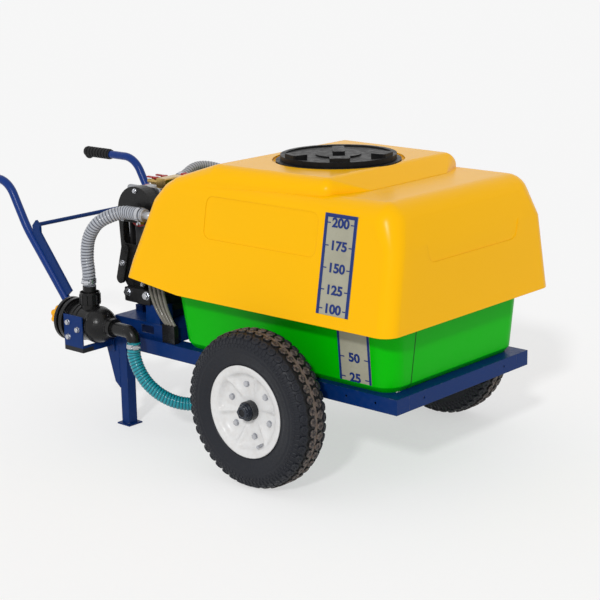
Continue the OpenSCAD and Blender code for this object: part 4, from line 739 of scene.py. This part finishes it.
def pressed_rim(name, side):
    bpy.ops.object.select_all(action="DESELECT")
    bpy.ops.mesh.primitive_circle_add(vertices=len(dish), radius=0.05, location=(0, 0, 0))
    o = bpy.context.object
    o.name = name
    y = side * HALF_TRACK
    for v, (r, w) in zip(o.data.vertices, dish):
        v.co = (AXLE + r / 1000, y + side * w / 1000, AXLE_Z)
    bpy.ops.object.mode_set(mode="EDIT")
    bpy.ops.mesh.select_all(action="SELECT")
    bpy.ops.mesh.spin(steps=180, angle=2 * math.pi, center=(AXLE, y, AXLE_Z), axis=(0, 1, 0))
    bpy.ops.mesh.select_all(action="SELECT")
    bpy.ops.mesh.remove_doubles(threshold=0.00005)
    bpy.ops.mesh.normals_make_consistent(inside=False)
    bpy.ops.object.mode_set(mode="OBJECT")
    for v in o.data.vertices:
        dx, dz = v.co.x - AXLE, v.co.z - AXLE_Z
        r = math.hypot(dx, dz) * 1000
        out = abs(v.co.y - y) * 1000
        if 34 < r < 99 and out > 18.5:
            from_ridge = (math.degrees(math.atan2(dz, dx)) - WHEEL_TURN + 30) % 60 - 30
            across = math.radians(from_ridge) * r
            start = min(max((r - 36) / 46, 0), 1)
            end = min(max((100 - r) / 8, 0), 1)
            swell = 11.5 * start * end * math.exp(-(across / (3.5 + 4.5 * start)) ** 2)
            v.co.y += side * swell / 1000
    bpy.ops.object.shade_smooth_by_angle(angle=math.radians(60))
    print(name, len(o.data.polygons), "faces")
    return o


for where, side in (("near", -1), ("far", 1)):
    o = pressed_rim("rim_" + where + "_pressing", side)
    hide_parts("rim_front_" + where)
    put(o, "wheel_" + where, "rim_white")


# %% [markdown]
# ## Level scale
# Clear strips on the near side carry plain numbers in litres, a dash on each side of them and a
# blue border. Each mark is laid on its strip by one matrix that leans as the strip does.

# %% Scale marks
def leaning(x, y, z, lean):
    return Matrix.Translation((AXLE + x, y, z)) @ Matrix.Rotation(math.radians(lean), 4, "X")


def bar(at, x0, x1, z0, z1, thick=0.0006, lift=0.0002):
    bpy.ops.object.select_all(action="DESELECT")
    bpy.ops.mesh.primitive_cube_add(size=1, location=(0, 0, 0))
    o = bpy.context.object
    for v in o.data.vertices:
        v.co = (x1 if v.co.x > 0 else x0, (0.0002 if v.co.y > 0 else -thick) - lift,
                z1 if v.co.z > 0 else z0)
    bpy.ops.object.mode_set(mode="EDIT")
    bpy.ops.mesh.select_all(action="SELECT")
    bpy.ops.mesh.bevel(offset=0.0002, segments=1, affect="EDGES")
    bpy.ops.object.mode_set(mode="OBJECT")
    o.data.transform(at)
    return o


def number(at, words, z, size=0.0315):
    bpy.ops.object.text_add(location=(0, 0, 0))
    o = bpy.context.object
    o.data.body = words
    o.data.size = size
    o.data.align_x = "CENTER"
    o.data.align_y = "CENTER"
    o.data.extrude = 0.0004
    o.data.offset = 0.0010
    only(o)
    bpy.ops.object.convert(target="MESH")
    o = bpy.context.object
    wider = Matrix.Diagonal((1.14, 1.0, 1.0, 1.0))
    upright = Matrix.Rotation(math.pi / 2, 4, "X")
    o.data.transform(at @ Matrix.Translation((0, -0.0006, z)) @ upright @ wider)
    return o


def scale_marks(name, at, low, high, marks, face, border, top=False):
    at = at @ Matrix.Translation((0, face, 0))
    out, inside = 0.0507, 0.0507 - border
    made = [bar(at, -out, -inside, low, high), bar(at, inside, out, low, high)]
    if top:
        made.append(bar(at, -inside + 0.0001, inside - 0.0001, high - border, high))
    for words, z in marks:
        made.append(number(at, words, z))
        made.append(bar(at, -inside + 0.0002, -0.0315, z - 0.0013, z + 0.0013))
        made.append(bar(at, 0.0315, inside - 0.0002, z - 0.0013, z + 0.0013))
    only(*made)
    bpy.ops.object.join()
    o = bpy.context.object
    o.name = name
    put(o, "cart", "frame_blue", scale_ink)
    return o


scale_ink = finish("scale_ink", (0.01, 0.03, 0.16), (0.35, 0.5), grain=900, relief=0.08, edge=0)
upper = leaning(0.212, -0.345, 0.438, -10)
lower = leaning(0.226, -0.268, 0.286, math.degrees(math.atan(15 / 178)))
upper_marks = [("200", 0.254), ("175", 0.199), ("150", 0.145), ("125", 0.092), ("100", 0.046)]
scale_marks("upper_scale_marks", upper, 0.031, 0.2765, upper_marks, -0.0003, 0.0092, True)
scale_marks("lower_scale_marks", lower, 0.002, 0.160, [("50", 0.064), ("25", 0.012)], -0.0005, 0.007)

# %% [markdown]
# ## Floor and light
# The floor and backdrop are white. One sun from the near side, a little towards the front, lights
# the long side of the cart and throws the hood's shadow on the tank, and the sky fills the rest.
# Rays that the camera or a reflection sends to the sky see plain white there, and on the floor they
# see its lit colour with a share of plain white, which keeps the shadow.

# %% Rays that show the background
def seen_ray(tree):
    path = tree.nodes.new("ShaderNodeLightPath")
    seen = path.outputs["Is Camera Ray"]
    for kind in ("Is Glossy Ray", "Is Transmission Ray"):
        most = tree.nodes.new("ShaderNodeMath")
        most.operation = "MAXIMUM"
        tree.links.new(seen, most.inputs[0])
        tree.links.new(path.outputs[kind], most.inputs[1])
        seen = most.outputs["Value"]
    return seen


# %% Floor and light
bpy.ops.object.select_all(action="DESELECT")
bpy.ops.mesh.primitive_plane_add(size=60, location=(0, 0, 0))
floor = bpy.context.object
floor.name = "studio_floor"
paper = finish("white_paper", (0.97, 0.97, 0.97), (0.9, 1.0), tone=0.0, grain=20, relief=0.0, edge=0)
paper.node_tree.nodes["Principled BSDF"].inputs["Specular IOR Level"].default_value = 0.0
pn = paper.node_tree
lit = pn.nodes["Principled BSDF"]
glow = pn.nodes.new("ShaderNodeEmission")
glow.inputs["Strength"].default_value = 1.0
blend = pn.nodes.new("ShaderNodeMixShader")
pn.links.new(lit.outputs["BSDF"], blend.inputs[1])
pn.links.new(glow.outputs["Emission"], blend.inputs[2])
share = pn.nodes.new("ShaderNodeMath")
share.operation = "MULTIPLY"
share.inputs[1].default_value = 0.55
pn.links.new(seen_ray(pn), share.inputs[0])
pn.links.new(share.outputs["Value"], blend.inputs["Fac"])
pn.links.new(blend.outputs["Shader"], pn.nodes["Material Output"].inputs["Surface"])
floor.data.materials.append(paper)

sun = bpy.data.lights.new("soft_sun", "SUN")
sun.energy = 1.45
sun.angle = math.radians(5)
sun_lamp = bpy.data.objects.new("soft_sun", sun)
bpy.context.collection.objects.link(sun_lamp)
sun_lamp.rotation_euler = Vector((0.42, -0.80, 0.55)).to_track_quat("Z", "Y").to_euler()

world = bpy.data.worlds.new("white_room")
bpy.context.scene.world = world
world.use_nodes = True
wn = world.node_tree
fill = wn.nodes["Background"]
fill.inputs["Color"].default_value = (1, 1, 1, 1)
fill.inputs["Strength"].default_value = 0.62
white = wn.nodes.new("ShaderNodeBackground")
white.inputs["Strength"].default_value = 1.0
white.inputs["Color"].default_value = (1, 1, 1, 1)
choose = wn.nodes.new("ShaderNodeMixShader")
wn.links.new(seen_ray(wn), choose.inputs["Fac"])
wn.links.new(fill.outputs["Background"], choose.inputs[1])
wn.links.new(white.outputs["Background"], choose.inputs[2])
wn.links.new(choose.outputs["Shader"], wn.nodes["World Output"].inputs["Surface"])
bpy.context.scene.view_settings.view_transform = "Standard"
print("sun", sun.energy, "sky", fill.inputs["Strength"].default_value)
